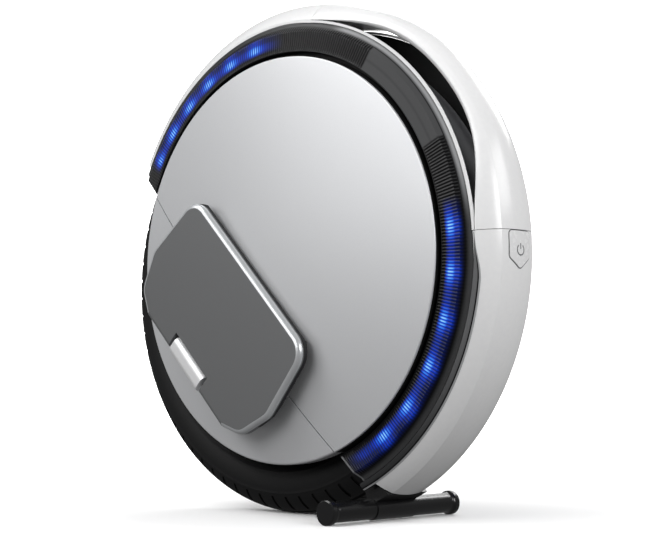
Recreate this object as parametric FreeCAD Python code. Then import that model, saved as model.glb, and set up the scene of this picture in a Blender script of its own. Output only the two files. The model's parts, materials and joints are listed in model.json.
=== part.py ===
import FreeCAD, Part
import math
import os

# Electric unicycle, parked on its rear stand.  Lengths are in millimetres, angles in degrees.
# Every piece is drawn upright about the axle: x runs to the rear, y to the rider's right along
# the axle, z up.  One turn and one lift at the end lean the machine back on its stand.

os.makedirs("parts", exist_ok=True)

Vector = FreeCAD.Vector
AXLE = Vector(0, 1, 0)
REAR = Vector(1, 0, 0)
UP = Vector(0, 0, 1)
FULL_TURN = 360.0
RIGHT_ANGLE = 90.0

# Fits
fit_gap = 0.05
running_gap = 0.08
seat_gap = 0.3
panel_gap = 0.5

# Tyre, tube and rim; a drop is measured inwards from the tread, an inset inwards from the sidewall
tyre_radius = 203.0
tyre_half_width = 27.0
tyre_shoulder_drop = 14.0
tyre_shoulder_inset = 2.5
tyre_widest_drop = 27.0
tyre_bead_drop = 50.5
tyre_bead_inset = 8.0
tyre_bead_width = 5.5
tyre_bead_height = 8.0
tyre_wall = 4.5
tread_thickness = 7.0
tread_groove_depth = 2.2
tread_groove_half = 1.6
tread_groove_offset = 9.0
tread_notch_width = 3.0
tread_notch_depth = 2.4
tread_notch_length = 11.0
tread_notch_count = 72
tube_wall = 1.8
tube_gap = 2.5
tube_sink = 1.0
valve_radius = 3.0
valve_length = 15.0
rim_flange_width = 3.0
rim_flange_height = 6.5
rim_well_depth = 8.5
rim_well_half = 9.0
rim_wall = 4.0
rim_web_half = 4.0

# Axle and bearings
axle_seat_radius = 10.0
axle_core_step = 4.0
axle_core_half = 11.0
axle_bore_radius = 4.0
axle_end = 0.95
bearing_height = 11.0
bearing_width = 12.0
bearing_offset = 1.0
bearing_ball_radius = 3.2
bearing_race_gap = 0.1
bearing_ball_count = 9
bearing_land_share = 0.62
nut_flat_radius = 15.0
nut_height = 5.5

# Hub motor
drum_step = 2.7
drum_wall = 10.0
drum_end_gap = 3.0
iron_thickness = 5.0
magnet_thickness = 3.0
magnet_overhang = 1.0
magnet_count = 40
magnet_width_share = 0.82
air_gap = 1.0
stator_half = 13.0
stator_yoke_depth = 14.0
stator_hub_wall = 10.0
stator_hub_inset = 0.5
stator_web_half = 4.0
slot_depth = 33.9
slot_count = 36
slot_width_share = 0.5
coil_overhang = 4.0
coil_gap = 0.3
tooth_tip = 3.0
cover_disc_thickness = 3.5
cover_boss_wall = 6.0
cover_boss_end = 1.0
cover_screw_radius = 2.0
cover_screw_head_radius = 3.6
cover_screw_head_height = 1.2
cover_screw_length = 9.0
cover_screw_count = 12

# Frame halves: a plate, a pan over the motor and half of the mudguard
plate_clearance = 3.5
plate_thickness = 2.5
spigot_wall = 2.5
spigot_height = 6.0
pan_inset = 3.0
pan_clearance = 1.0
pan_wall = 2.5
pan_hole_margin = 3.0
guard_gap = 5.0
guard_wall = 2.5
guard_half_angle = 97.5

# Side covers, round a body centre above the axle
body_rise = 26.0
cover_inset = 26.0
cover_depth = 11.0
cover_dome_rise = 14.0
cover_wall = 2.5
cover_edge_round = 1.8
seam_drop = 43.0
seam_gap = 0.8

# Light rings, from the groove round the side cover outwards
light_groove = 4.0
light_flat_width = 18.0
light_bevel_width = 6.0
light_rim_width = 3.0
light_handle_inset = 1.0
light_rim_rise = 1.2
light_bevel_rise = 0.4
light_ridge_rise = 5.4
light_inner_rise = 1.5
light_wall = 1.8
light_blend_angle = 10.0
light_blend_lead = 1.0
light_blend_steps = 8
light_end_wall = 2.0
light_sweep_angle = 115.0
board_inset = 5.0
board_width = 9.0
board_thickness = 1.2
board_angle = 106.0
led_size = 5.0
led_height = 1.4
led_angles = (15.0, 27.5, 40.0, 52.5, 65.0, 77.5, 90.0, 102.5)

# White shells; a rise is measured outwards from the light ring's edge
shell_overhang = 1.0
shell_lap = 6.5
shell_side_rise = 2.5
shell_side_inset = 0.4
shell_crease_rise = 10.5
shell_crease_inset = 6.5
shell_crest_rise = 17.3
shell_crest_inset = 14.5
shell_crown_rise = 20.0
shell_wall = 3.0
shell_crease_share = 0.7
shell_side_share = 0.4
shell_end_drop = 36.0
shell_sweep_angle = 112.0
handle_rear_angle = 41.0
handle_front_angle = 37.0

# Handle: the grip is the middle, and its ends flare out to the shells; rises as for the shells
grip_foot_rise = 9.5
grip_foot_half = 12.5
grip_roll_rise = 10.3
grip_roll_half = 17.4
grip_side_rise = 13.6
grip_side_half = 19.8
grip_crease_rise = 17.2
grip_crease_half = 18.6
grip_crest_rise = 19.8
grip_crest_half = 15.0
grip_crown_rise = 23.0
flare_foot_rise = 2.0
flare_roll_bulge = 0.15
handle_section_count = 13
trim_height = 2.2
trim_width = 2.0
trim_proud = 0.6
pad_depth = 2.0
pad_under = 1.2
pad_half = 10.0
pad_angle = 20.0

# Power button on the rear shell, charge port on the front shell
button_width = 25.0
button_length = 30.0
button_point_share = 0.6
button_corner = 3.0
button_gap = 0.4
button_proud = 0.5
button_travel = 1.2
button_top_offset = 1.2
switch_margin = 4.0
prism_reach = 14.0
port_width = 24.0
port_length = 26.0
port_angle = 50.0
port_corner = 4.0
hinge_barrel_radius = 2.0
hinge_barrel_half = 8.0
hinge_barrel_bite = 0.6
hinge_pin_radius = 0.8
hinge_pin_half = 10.5
hinge_depth = 2.2
inlet_radius = 14.0
inlet_bore_radius = 6.0
inlet_bore_depth = 12.0
inlet_floor = 4.0
inlet_recess_radius = 10.0
inlet_recess_depth = 1.5

# Hangers and pedals
hanger_hub_radius = 23.0
hanger_clearance = 0.5
hanger_hub_width = 13.0
hanger_arm_half = 21.0
hanger_arm_width = 7.0
knuckle_half = 25.0
knuckle_size = 18.0
knuckle_corner = 6.0
hinge_drop = 101.0
hinge_standoff = 5.5
pin_radius = 3.5
pin_half = 76.0
pedal_clearance = 3.8
pedal_thickness = 9.7
pedal_top = 11.5
pedal_top_half = 98.0
pedal_side_drop = 60.0
pedal_side_half = 106.0
pedal_hip_drop = 96.0
pedal_hip_half = 93.0
pedal_heel = 7.0
pedal_heel_half = 70.0
pedal_corner = 20.0
pedal_edge_round = 4.5
notch_side_gap = 4.0
notch_top_gap = 1.5
pedal_pad_thickness = 3.7
pedal_pad_bottom = 78.0

# Battery, control board and cable
cell_radius = 9.1
cell_length = 65.0
cell_gap = 0.3
cell_top_count = 8
cell_side_count = 4
cell_top_start = 29.0
cell_side_start = 36.0
cell_side_low = 27.0
sink_width = 104.0
sink_margin = 8.0
sink_start = 50.0
sink_thickness = 9.0
circuit_thickness = 1.6
circuit_gap = 0.3
chip_width = 10.0
chip_height = 15.0
chip_thickness = 4.5
chip_count = 6
can_radius = 8.0
can_height = 7.0
connector_width = 14.0
connector_height = 9.0
connector_depth = 13.0
cable_radius = 2.2
cable_bend = 4.0
cable_start = 38.0

# Stand: a bar behind the tyre, held under the end of the rear shell
stand_clearance = 17.96
stand_drop_angle = 15.62
stand_bar_radius = 6.0
stand_grip_radius = 8.6
stand_foot_radius = 10.4
stand_half = 80.0
stand_foot_length = 5.0
stand_flare = 5.0
stand_foot_bevel = 1.0
stand_end_wall = 4.0
stand_sleeve_radius = 9.3
stand_bracket_half = 25.0
bracket_inset = 2.0
bracket_thickness = 13.0
tongue_depth = 9.0
tongue_half = 19.0
tongue_angle = 97.0
stand_screw_radius = 2.5
stand_screw_head_radius = 4.2
stand_screw_head_height = 2.5
stand_screw_angle = 101.5
stand_screw_half = 11.0
stand_screw_bite = 1.5

# Sizes that follow: wheel and motor, measured from the axle
reach = 2 * tyre_radius
tyre_shoulder_radius = tyre_radius - tyre_shoulder_drop
tyre_shoulder_half = tyre_half_width - tyre_shoulder_inset
tyre_widest_radius = tyre_radius - tyre_widest_drop
tyre_bead_radius = tyre_radius - tyre_bead_drop
tyre_bead_half = tyre_half_width - tyre_bead_inset
tyre_bead_top = tyre_bead_radius + tyre_bead_height
tube_radius = tyre_half_width - tyre_wall - tube_gap
tube_middle = tyre_widest_radius - tube_sink
rim_seat_radius = tyre_bead_radius - seat_gap
rim_well_radius = rim_seat_radius - rim_well_depth
drum_outer_radius = rim_well_radius - rim_wall - drum_step
drum_inner_radius = drum_outer_radius - drum_wall
drum_half = stator_half + coil_overhang + drum_end_gap
iron_outer_radius = drum_inner_radius - fit_gap
iron_inner_radius = iron_outer_radius - iron_thickness
magnet_outer_radius = iron_inner_radius - fit_gap
magnet_inner_radius = magnet_outer_radius - magnet_thickness
magnet_half = stator_half + magnet_overhang
stator_radius = magnet_inner_radius - air_gap
stator_yoke_radius = stator_radius - slot_depth
stator_yoke_inner = stator_yoke_radius - stator_yoke_depth
axle_core_radius = axle_seat_radius + axle_core_step
stator_hub_radius = axle_core_radius + stator_hub_wall
stator_hub_half = axle_core_half - stator_hub_inset
bearing_outer_radius = axle_seat_radius + bearing_height
bearing_half_from = axle_core_half + bearing_offset
cover_boss_radius = bearing_outer_radius + cover_boss_wall
cover_boss_half = bearing_half_from + bearing_width + cover_boss_end

# Sizes that follow: frame and hangers
plate_inner_half = tyre_half_width + plate_clearance
plate_outer_half = plate_inner_half + plate_thickness
pan_radius = drum_outer_radius - pan_inset
pan_inner_half = cover_boss_half + pan_clearance
sink_corner_radius = pan_radius - pan_wall - sink_margin
sink_height = math.sqrt(sink_corner_radius ** 2 - (sink_width / 2) ** 2) - sink_start
pan_hole_radius = hanger_hub_radius + pan_hole_margin
guard_inner_radius = tyre_radius + guard_gap
guard_outer_radius = guard_inner_radius + guard_wall
hanger_inner_half = pan_inner_half + pan_wall + hanger_clearance
hanger_hub_outer_half = hanger_inner_half + hanger_hub_width
hanger_arm_inner_half = hanger_hub_outer_half - hanger_arm_width
axle_half = hanger_hub_outer_half + fit_gap + nut_height + axle_end

# Sizes that follow: covers, light rings and shells, measured from the body centre
cover_radius = tyre_radius - cover_inset
cover_rim_half = plate_outer_half + cover_depth
cover_dome_half = cover_rim_half + cover_dome_rise
light_inner_radius = cover_radius + light_groove
light_ridge_radius = light_inner_radius + light_flat_width
light_bevel_radius = light_ridge_radius + light_bevel_width
light_outer_radius = light_bevel_radius + light_rim_width
light_handle_radius = light_outer_radius - light_handle_inset
light_rim_half = plate_outer_half + light_rim_rise
light_bevel_half = light_rim_half + light_bevel_rise
light_ridge_half = light_bevel_half + light_ridge_rise
light_inner_half = light_ridge_half + light_inner_rise
board_inner_radius = light_inner_radius + board_inset
board_outer_radius = board_inner_radius + board_width
shell_half = plate_outer_half + shell_overhang
shell_foot_radius = light_outer_radius - shell_lap
shell_side = (light_outer_radius + shell_side_rise, shell_half - shell_side_inset)
shell_crease = (light_outer_radius + shell_crease_rise, shell_half - shell_crease_inset)
shell_crest = (light_outer_radius + shell_crest_rise, shell_half - shell_crest_inset)
shell_crown_radius = light_outer_radius + shell_crown_rise
panel_gap_angle = math.degrees(panel_gap / shell_crown_radius)

# Sizes that follow: handle
grip_foot = (light_outer_radius + grip_foot_rise, grip_foot_half)
grip_roll = (light_outer_radius + grip_roll_rise, grip_roll_half)
grip_side = (light_outer_radius + grip_side_rise, grip_side_half)
grip_crease = (light_outer_radius + grip_crease_rise, grip_crease_half)
grip_crest = (light_outer_radius + grip_crest_rise, grip_crest_half)
grip_crown = (light_outer_radius + grip_crown_rise, 0.0)
flare_foot = (light_outer_radius + flare_foot_rise, shell_half)
flare_roll = ((flare_foot[0] + shell_side[0]) / 2, (flare_foot[1] + shell_side[1]) / 2 + flare_roll_bulge)
handle_middle_angle = (handle_rear_angle - handle_front_angle) / 2
handle_half_angle = (handle_rear_angle + handle_front_angle) / 2
trim_outer_half = shell_half + trim_proud
trim_inner_half = trim_outer_half - trim_width

# Sizes that follow: pedals and stand
hinge_half = cover_dome_half + hinge_standoff
pedal_inner_half = cover_dome_half + pedal_clearance
pedal_outer_half = pedal_inner_half + pedal_thickness
pedal_bottom = hinge_drop + pedal_heel
pedal_outline = ((pedal_top_half, pedal_top), (pedal_side_half, -pedal_side_drop),
                 (pedal_hip_half, -pedal_hip_drop), (pedal_heel_half, -pedal_bottom))
notch_half = knuckle_half + notch_side_gap
notch_top = knuckle_size / 2 + notch_top_gap - hinge_drop
stand_distance = tyre_radius + stand_clearance
stand_x = stand_distance * math.cos(math.radians(stand_drop_angle))
stand_z = -stand_distance * math.sin(math.radians(stand_drop_angle))
lean_angle = math.degrees(math.asin((tyre_radius - stand_foot_radius) / stand_distance)) - stand_drop_angle
tongue_inner_radius = shell_crown_radius - shell_wall - tongue_depth
bracket_outer_radius = shell_crown_radius - bracket_inset
bracket_inner_radius = bracket_outer_radius - bracket_thickness


# Small tools
def ring_point(spot, centre):
    return Vector(0, spot[1], centre + spot[0])


def section(steps, centre):
    """Closed face in the plane x = 0.  A step is a spot (radius, y), or two spots for an arc."""
    first = ring_point(steps[0], centre)
    here = first
    edges = []
    for step in steps[1:]:
        if isinstance(step[0], tuple):
            there = ring_point(step[1], centre)
            edges.append(Part.Arc(here, ring_point(step[0], centre), there).toShape())
        else:
            there = ring_point(step, centre)
            edges.append(Part.LineSegment(here, there).toShape())
        here = there
    edges.append(Part.LineSegment(here, first).toShape())
    return Part.Face(Part.Wire(edges))


def turned(steps, centre, start=0.0, sweep=FULL_TURN):
    """Turn a section about the line parallel to the axle at the given height."""
    face = section(steps, centre)
    pivot = Vector(0, 0, centre)
    face.rotate(pivot, AXLE, start)
    return face.revolve(pivot, AXLE, sweep)


def ring(inner, outer, low, high, centre, start=0.0, sweep=FULL_TURN):
    """Plain ring or ring sector between two radii and two y values."""
    return turned(((inner, low), (outer, low), (outer, high), (inner, high)), centre, start, sweep)


def block(x_low, x_high, y_low, y_high, z_low, z_high):
    corner = Vector(x_low, y_low, z_low)
    return Part.makeBox(x_high - x_low, y_high - y_low, z_high - z_low, corner)


def rod(radius, y_low, y_high, x=0.0, z=0.0):
    return Part.makeCylinder(radius, y_high - y_low, Vector(x, y_low, z), AXLE)


def swung(shape, angle, centre):
    """Copy of a shape, turned about the axle direction through the given height."""
    copy = shape.copy()
    copy.rotate(Vector(0, 0, centre), AXLE, angle)
    return copy


def around(shape, count, centre=0.0):
    return [swung(shape, FULL_TURN * index / count, centre) for index in range(count)]


def mirrored(shape):
    """The left-hand twin of a right-hand piece."""
    return shape.mirror(Vector(), AXLE)


def forward(shape):
    """The front twin of a rear piece."""
    return shape.mirror(Vector(), REAR)


def body_point(radius, angle, y=0.0):
    turn = math.radians(angle)
    return Vector(radius * math.sin(turn), y, body_rise + radius * math.cos(turn))


def above_seam(gap):
    return block(-reach, reach, -reach, reach, gap - seam_drop, reach)


def below_seam(gap):
    return block(-reach, reach, -reach, reach, -reach, -gap - seam_drop)


def rounded(shape, radius, direction, lowest=-reach):
    """Round the straight edges above a height that run along one direction."""
    edges = [edge for edge in shape.Edges
             if isinstance(edge.Curve, Part.Line) and edge.CenterOfMass.z > lowest
             and abs(abs(edge.Curve.Direction.dot(direction)) - 1) < 1e-6]
    return shape.makeFillet(radius, edges)


def save(name, *shapes):
    """Lean the piece back on the stand, set the tyre on the floor and write its file."""
    solids = [solid.copy() for shape in shapes for solid in shape.Solids]
    for solid in solids:
        solid.rotate(Vector(), AXLE, lean_angle)
        solid.translate(UP * tyre_radius)
    piece = solids[0] if len(solids) == 1 else Part.makeCompound(solids)
    piece.exportStep("parts/" + name + ".step")


# Tyre, tube and valve
def make_tyre():
    widest = (tyre_widest_radius, tyre_half_width)
    shoulder = (tyre_shoulder_radius, tyre_shoulder_half)
    inner_widest = (tyre_widest_radius, tyre_half_width - tyre_wall)
    inner_crown = tyre_radius - tread_thickness
    bead_inner = tyre_bead_half - tyre_bead_width
    steps = ((tyre_bead_radius, tyre_bead_half), (tyre_bead_top, tyre_bead_half),
             (widest, shoulder),
             ((tyre_radius, 0.0), (shoulder[0], -shoulder[1])),
             ((widest[0], -widest[1]), (tyre_bead_top, -tyre_bead_half)),
             (tyre_bead_radius, -tyre_bead_half), (tyre_bead_radius, -bead_inner),
             (inner_widest[0], -inner_widest[1]),
             ((inner_crown, 0.0), inner_widest),
             (tyre_bead_radius, bead_inner))
    tyre = turned(steps, 0.0)
    grooves = []
    for offset in (-tread_groove_offset, tread_groove_offset):
        crown_drop = offset * offset / (2 * tyre_half_width)
        floor = tyre_radius - crown_drop - tread_groove_depth
        grooves.append(ring(floor, tyre_radius + tread_groove_depth, offset - tread_groove_half,
                            offset + tread_groove_half, 0.0))
    notch = block(-tread_notch_width / 2, tread_notch_width / 2, tyre_shoulder_half - tread_notch_length,
                  tyre_shoulder_half + tread_notch_length,
                  tyre_shoulder_radius - tread_notch_depth + tread_notch_width, tyre_radius)
    slope = math.degrees(math.atan2(tyre_radius - tyre_shoulder_radius, tyre_shoulder_half))
    notch.rotate(Vector(0, tyre_shoulder_half, tyre_shoulder_radius), REAR, -slope)
    cutters = around(notch, tread_notch_count)
    half_pitch = FULL_TURN / tread_notch_count / 2
    cutters += [swung(mirrored(cutter), half_pitch, 0.0) for cutter in cutters]
    return tyre.cut(grooves).cut(cutters)


def make_tube():
    whole = Part.makeTorus(tube_middle, tube_radius, Vector(), AXLE)
    return whole.cut(Part.makeTorus(tube_middle, tube_radius - tube_wall, Vector(), AXLE))


def make_valve():
    top = tube_middle - tube_radius - fit_gap
    return Part.makeCylinder(valve_radius, valve_length, Vector(0, 0, top - valve_length), UP)


def make_rim():
    flange_inner = tyre_bead_half + seat_gap
    flange_outer = flange_inner + rim_flange_width
    flange_top = rim_seat_radius + rim_flange_height
    under_seat = rim_seat_radius - rim_wall
    under_well = rim_well_radius - rim_wall
    right = ((flange_top, flange_inner), (flange_top, flange_outer),
             (under_seat, flange_outer), (under_seat, rim_well_half + rim_wall),
             (under_well, rim_well_half), (under_well, rim_web_half),
             (drum_outer_radius, rim_web_half), (drum_outer_radius, drum_half),
             (drum_inner_radius, drum_half))
    left = tuple((radius, -y) for radius, y in reversed(right))
    trough = ((rim_seat_radius, -flange_inner), (rim_seat_radius, -rim_well_half - rim_wall / 2),
              (rim_well_radius, -rim_well_half), (rim_well_radius, rim_well_half),
              (rim_seat_radius, rim_well_half + rim_wall / 2), (rim_seat_radius, flange_inner))
    rim = turned(right + left + trough, 0.0)
    hole = Part.makeCylinder(valve_radius + seat_gap, rim_well_depth + rim_wall + drum_outer_radius,
                             Vector(0, 0, drum_outer_radius), UP)
    return rim.cut([hole] + cover_screw_holes())


# Hub motor
def cover_screw_at(y):
    middle = (drum_inner_radius + drum_outer_radius) / 2
    return Vector(0, y, middle)


def cover_screw_holes():
    length = 2 * (drum_half + cover_disc_thickness + 2 * fit_gap)
    start = cover_screw_at(-length / 2)
    hole = Part.makeCylinder(cover_screw_radius + fit_gap, length, start, AXLE)
    return around(hole, cover_screw_count)


def make_motor_cover():
    low = drum_half + fit_gap
    high = low + cover_disc_thickness
    bore = bearing_outer_radius + fit_gap
    inside = bearing_half_from
    steps = ((bore, inside), (cover_boss_radius, inside), (cover_boss_radius, low), (drum_outer_radius, low),
             (drum_outer_radius, high), (cover_boss_radius, high), (cover_boss_radius, cover_boss_half),
             (bore, cover_boss_half))
    return turned(steps, 0.0).cut(cover_screw_holes())


def make_cover_screws():
    seat = drum_half + cover_disc_thickness + 2 * fit_gap
    tip = cover_screw_at(seat - cover_screw_length)
    shank = Part.makeCylinder(cover_screw_radius, cover_screw_length, tip, AXLE)
    head = Part.makeCylinder(cover_screw_head_radius, cover_screw_head_height, cover_screw_at(seat), AXLE)
    return around(shank.fuse(head).removeSplitter(), cover_screw_count)


def make_back_iron():
    return ring(iron_inner_radius, iron_outer_radius, -magnet_half, magnet_half, 0.0)


def make_magnets():
    width = FULL_TURN / magnet_count * magnet_width_share
    magnet = ring(magnet_inner_radius, magnet_outer_radius, -magnet_half, magnet_half, 0.0, 0.0, width)
    return around(magnet, magnet_count)


def slot_width():
    return 2 * math.pi * stator_yoke_radius / slot_count * slot_width_share


def make_stator():
    bore = axle_core_radius + fit_gap
    right = ((stator_hub_radius, stator_hub_half), (stator_hub_radius, stator_web_half),
             (stator_yoke_inner, stator_web_half), (stator_yoke_inner, stator_half),
             (stator_radius, stator_half))
    left = tuple((radius, -y) for radius, y in reversed(right))
    core = turned(((bore, stator_hub_half),) + right + left + ((bore, -stator_hub_half),), 0.0)
    half = slot_width() / 2
    slot = block(-half, half, -reach, reach, stator_yoke_radius, stator_radius + tooth_tip)
    return core.cut(around(slot, slot_count))


def make_coils():
    half = slot_width() / 2 - coil_gap
    end = stator_half + coil_overhang
    coil = block(-half, half, -end, end, stator_yoke_radius + coil_gap, stator_radius - tooth_tip)
    return around(coil, slot_count)


# Axle, bearings and nuts
def make_axle():
    steps = ((0.0, -axle_half), (axle_seat_radius, -axle_half), (axle_seat_radius, -axle_core_half),
             (axle_core_radius, -axle_core_half), (axle_core_radius, axle_core_half),
             (axle_seat_radius, axle_core_half), (axle_seat_radius, axle_half), (0.0, axle_half))
    return turned(steps, 0.0).cut(rod(axle_bore_radius, 0.0, reach))


def race_sizes():
    inner = axle_seat_radius + fit_gap
    pitch = (inner + bearing_outer_radius) / 2
    land = bearing_ball_radius * bearing_land_share
    middle = bearing_half_from + bearing_width / 2
    groove = Part.makeTorus(pitch, bearing_ball_radius + bearing_race_gap, AXLE * middle, AXLE)
    return inner, pitch, land, middle, groove


def make_inner_race():
    inner, pitch, land, middle, groove = race_sizes()
    end = bearing_half_from + bearing_width
    return ring(inner, pitch - land, bearing_half_from, end, 0.0).cut(groove)


def make_outer_race():
    inner, pitch, land, middle, groove = race_sizes()
    end = bearing_half_from + bearing_width
    return ring(pitch + land, bearing_outer_radius, bearing_half_from, end, 0.0).cut(groove)


def make_balls():
    inner, pitch, land, middle, groove = race_sizes()
    ball = Part.makeSphere(bearing_ball_radius, Vector(0, middle, pitch))
    return around(ball, bearing_ball_count)


def make_axle_nut():
    low = hanger_hub_outer_half + fit_gap
    corners = [swung(Part.Vertex(0, low, nut_flat_radius), turn, 0.0).Point for turn in range(0, 361, 60)]
    nut = Part.Face(Part.makePolygon(corners)).extrude(AXLE * nut_height)
    return nut.cut(rod(axle_seat_radius + fit_gap, low - nut_height, low + 2 * nut_height))


# Side covers
def dome_half(radius, drop):
    rise = cover_dome_half - cover_rim_half
    ball = (cover_radius * cover_radius + rise * rise) / (2 * rise)
    return cover_dome_half - drop - (ball - math.sqrt(ball * ball - radius * radius))


def make_side_cover():
    inner = cover_radius - cover_wall
    seat = plate_outer_half + fit_gap
    middle = cover_radius / 2
    steps = ((0.0, dome_half(0.0, 0.0)),
             ((middle, dome_half(middle, 0.0)), (cover_radius, cover_rim_half)),
             (cover_radius, seat), (inner, seat), (inner, dome_half(inner, cover_wall)),
             ((middle, dome_half(middle, cover_wall)), (0.0, dome_half(0.0, cover_wall))))
    cover = turned(steps, body_rise)
    edges = [edge for edge in cover.Edges
             if not edge.Degenerated and isinstance(edge.Curve, Part.Circle)
             and abs(edge.Curve.Radius - cover_radius) < fit_gap
             and abs(edge.Curve.Center.y - cover_rim_half) < fit_gap]
    return cover.makeFillet(cover_edge_round, edges)


def make_upper_cover():
    return make_side_cover().common(above_seam(seam_gap / 2))


def make_lower_cover():
    half = knuckle_half + panel_gap
    low = -hinge_drop - knuckle_size / 2 - panel_gap
    high = knuckle_size / 2 + panel_gap - hinge_drop
    window = block(-half, half, plate_outer_half + cover_wall, reach, low, high)
    return make_side_cover().common(below_seam(seam_gap / 2)).cut(window)


# Light rings
def light_outline(grow):
    """Side outline of the light ring: nearer the centre beside the handle, further out elsewhere."""
    near = light_handle_radius + grow
    far = light_outer_radius + grow
    rear = handle_rear_angle - light_blend_lead
    front = handle_front_angle - light_blend_lead

    def blend(sign, start):
        points = []
        for index in range(light_blend_steps + 1):
            share = index / light_blend_steps
            radius = near + (far - near) * share * share * (3 - 2 * share)
            points.append(body_point(radius, sign * (start + light_blend_angle * share)))
        curve = Part.BSplineCurve()
        curve.interpolate(points)
        return curve.toShape(), points[0], points[-1]

    rear_curve, rear_near, rear_far = blend(1, rear)
    front_curve, front_near, front_far = blend(-1, front)
    top = Part.Arc(front_near, body_point(near, 0.0), rear_near).toShape()
    bottom = Part.Arc(rear_far, body_point(far, FULL_TURN / 2), front_far).toShape()
    return Part.Face(Part.Wire([top, rear_curve, bottom, front_curve]))


def light_prism(grow):
    face = light_outline(grow)
    face.translate(AXLE * -reach)
    return face.extrude(AXLE * (2 * reach))


def light_steps(seat):
    return ((light_inner_radius, seat), (light_inner_radius, light_inner_half),
            (light_ridge_radius, light_ridge_half), (light_bevel_radius, light_bevel_half),
            (light_outer_radius, light_rim_half), (light_outer_radius, seat))


def make_light_cover():
    seat = plate_outer_half + fit_gap
    sweep = 2 * light_sweep_angle
    full = turned(light_steps(seat), body_rise, -light_sweep_angle, sweep)
    hollow = ((light_inner_radius + light_wall, seat - light_wall),
              (light_inner_radius + light_wall, light_inner_half - light_wall),
              (light_ridge_radius - light_wall, light_ridge_half - light_wall),
              (light_bevel_radius - 2 * light_wall, seat + light_wall),
              (light_bevel_radius - 2 * light_wall, seat - light_wall))
    space = turned(hollow, body_rise, -light_sweep_angle, sweep)
    space = space.common(above_seam(seam_gap / 2 + light_end_wall))
    return full.common(light_prism(0.0)).common(above_seam(seam_gap / 2)).cut(space)


def make_light_board():
    low = plate_outer_half + fit_gap
    return ring(board_inner_radius, board_outer_radius, low, low + board_thickness, body_rise,
                -board_angle, 2 * board_angle)


def make_leds():
    low = plate_outer_half + board_thickness + 2 * fit_gap
    middle = (board_inner_radius + board_outer_radius) / 2
    half = led_size / 2
    led = block(-half, half, low, low + led_height, body_rise + middle - half, body_rise + middle + half)
    return [swung(led, sign * angle, body_rise) for angle in led_angles for sign in (-1, 1)]


# Frame halves
def make_frame():
    seat_low = plate_inner_half
    seat_high = plate_outer_half
    upper = light_prism(0.0).common(block(-reach, reach, seat_low, seat_high, -seam_drop, reach))
    disc = rod(cover_radius, seat_low, seat_high, 0.0, body_rise)
    wall_outer = cover_radius - cover_wall - seat_gap
    spigot = ring(wall_outer - spigot_wall, wall_outer, seat_low, seat_high + spigot_height, body_rise)
    pan = turned(((pan_hole_radius, pan_inner_half), (pan_radius, pan_inner_half), (pan_radius, seat_high),
                  (pan_radius - pan_wall, seat_high), (pan_radius - pan_wall, pan_inner_half + pan_wall),
                  (pan_hole_radius, pan_inner_half + pan_wall)), 0.0)
    guard = ring(guard_inner_radius, guard_outer_radius, fit_gap, seat_high, 0.0,
                 -guard_half_angle, 2 * guard_half_angle)
    guard = guard.common(shell_space(seat_gap))
    plate = upper.fuse(disc).cut(rod(pan_radius - pan_wall / 2, 0.0, reach))
    return plate.fuse([spigot, pan, guard]).removeSplitter()


# White shells and handle
def flipped(spot):
    return (spot[0], -spot[1])


def shell_contour(drop):
    """Outer shell section from right foot to left foot, moved inwards by a drop."""
    foot = (shell_foot_radius, shell_half - drop)
    side = (shell_side[0] - drop * shell_side_share, shell_side[1] - drop)
    crease = (shell_crease[0] - drop * shell_crease_share, shell_crease[1] - drop * shell_crease_share)
    crest = (shell_crest[0] - drop, shell_crest[1] - drop * shell_side_share)
    crown = (shell_crown_radius - drop, 0.0)
    return (foot, side, (crease, crest), (crown, flipped(crest)), (flipped(crease), flipped(side)),
            flipped(foot))


def shell_space(drop):
    """Everything inside the white shells, down past the axle."""
    foot, *rest = shell_contour(shell_wall + drop)
    last = rest[-1]
    steps = ((0.0, foot[1]), foot, *rest, (0.0, last[1]))
    return turned(steps, body_rise)


def shell_blank(start, sweep):
    outer = shell_contour(0.0)
    foot, side, creased, crowned, uncreased, end = shell_contour(shell_wall)
    inner = (end, uncreased[1], (uncreased[0], flipped(creased[1])), (crowned[0], creased[1]),
             (creased[0], side), foot)
    return turned(outer + inner, body_rise, start, sweep)


def shell_end_wall(start, sweep):
    return turned(shell_contour(0.0), body_rise, start, sweep)


def make_shell(start_angle):
    """Shell at the rear, from its seam with the handle to its level end wall, before any cut."""
    start = start_angle + panel_gap_angle
    sweep = shell_sweep_angle - start
    wall = shell_end_wall(RIGHT_ANGLE, shell_sweep_angle - RIGHT_ANGLE)
    wall = wall.common(block(-reach, reach, -reach, reach, -shell_end_drop, shell_wall - shell_end_drop))
    wall = wall.cut(rod(guard_inner_radius, -reach, reach))
    above_end = block(-reach, reach, -reach, reach, -shell_end_drop, reach)
    return shell_blank(start, sweep).common(above_end).fuse(wall).removeSplitter()


def handle_wire(angle):
    """Handle section: the grip spots blend into the flare spots towards both shells."""
    share = abs(angle - handle_middle_angle) / handle_half_angle
    flare = ((1 - math.cos(math.pi * share)) / 2) ** 2

    def between(first, second):
        return tuple(low + (high - low) * flare for low, high in zip(first, second))

    foot = between(grip_foot, flare_foot)
    roll = between(grip_roll, flare_roll)
    side = between(grip_side, shell_side)
    crease = between(grip_crease, shell_crease)
    crest = between(grip_crest, shell_crest)
    crown = between(grip_crown, (shell_crown_radius, 0.0))
    wire = section((foot, (roll, side), (crease, crest), (crown, flipped(crest)),
                    (flipped(crease), flipped(side)), (flipped(roll), flipped(foot))), body_rise).OuterWire
    wire.rotate(Vector(0, 0, body_rise), AXLE, angle)
    return wire


def pad_ring(grow):
    low = grip_foot[0] - pad_under
    return ring(low - grow, low + pad_depth + pad_under + grow, -pad_half - grow, pad_half + grow, body_rise,
                handle_middle_angle - pad_angle, 2 * pad_angle)


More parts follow.
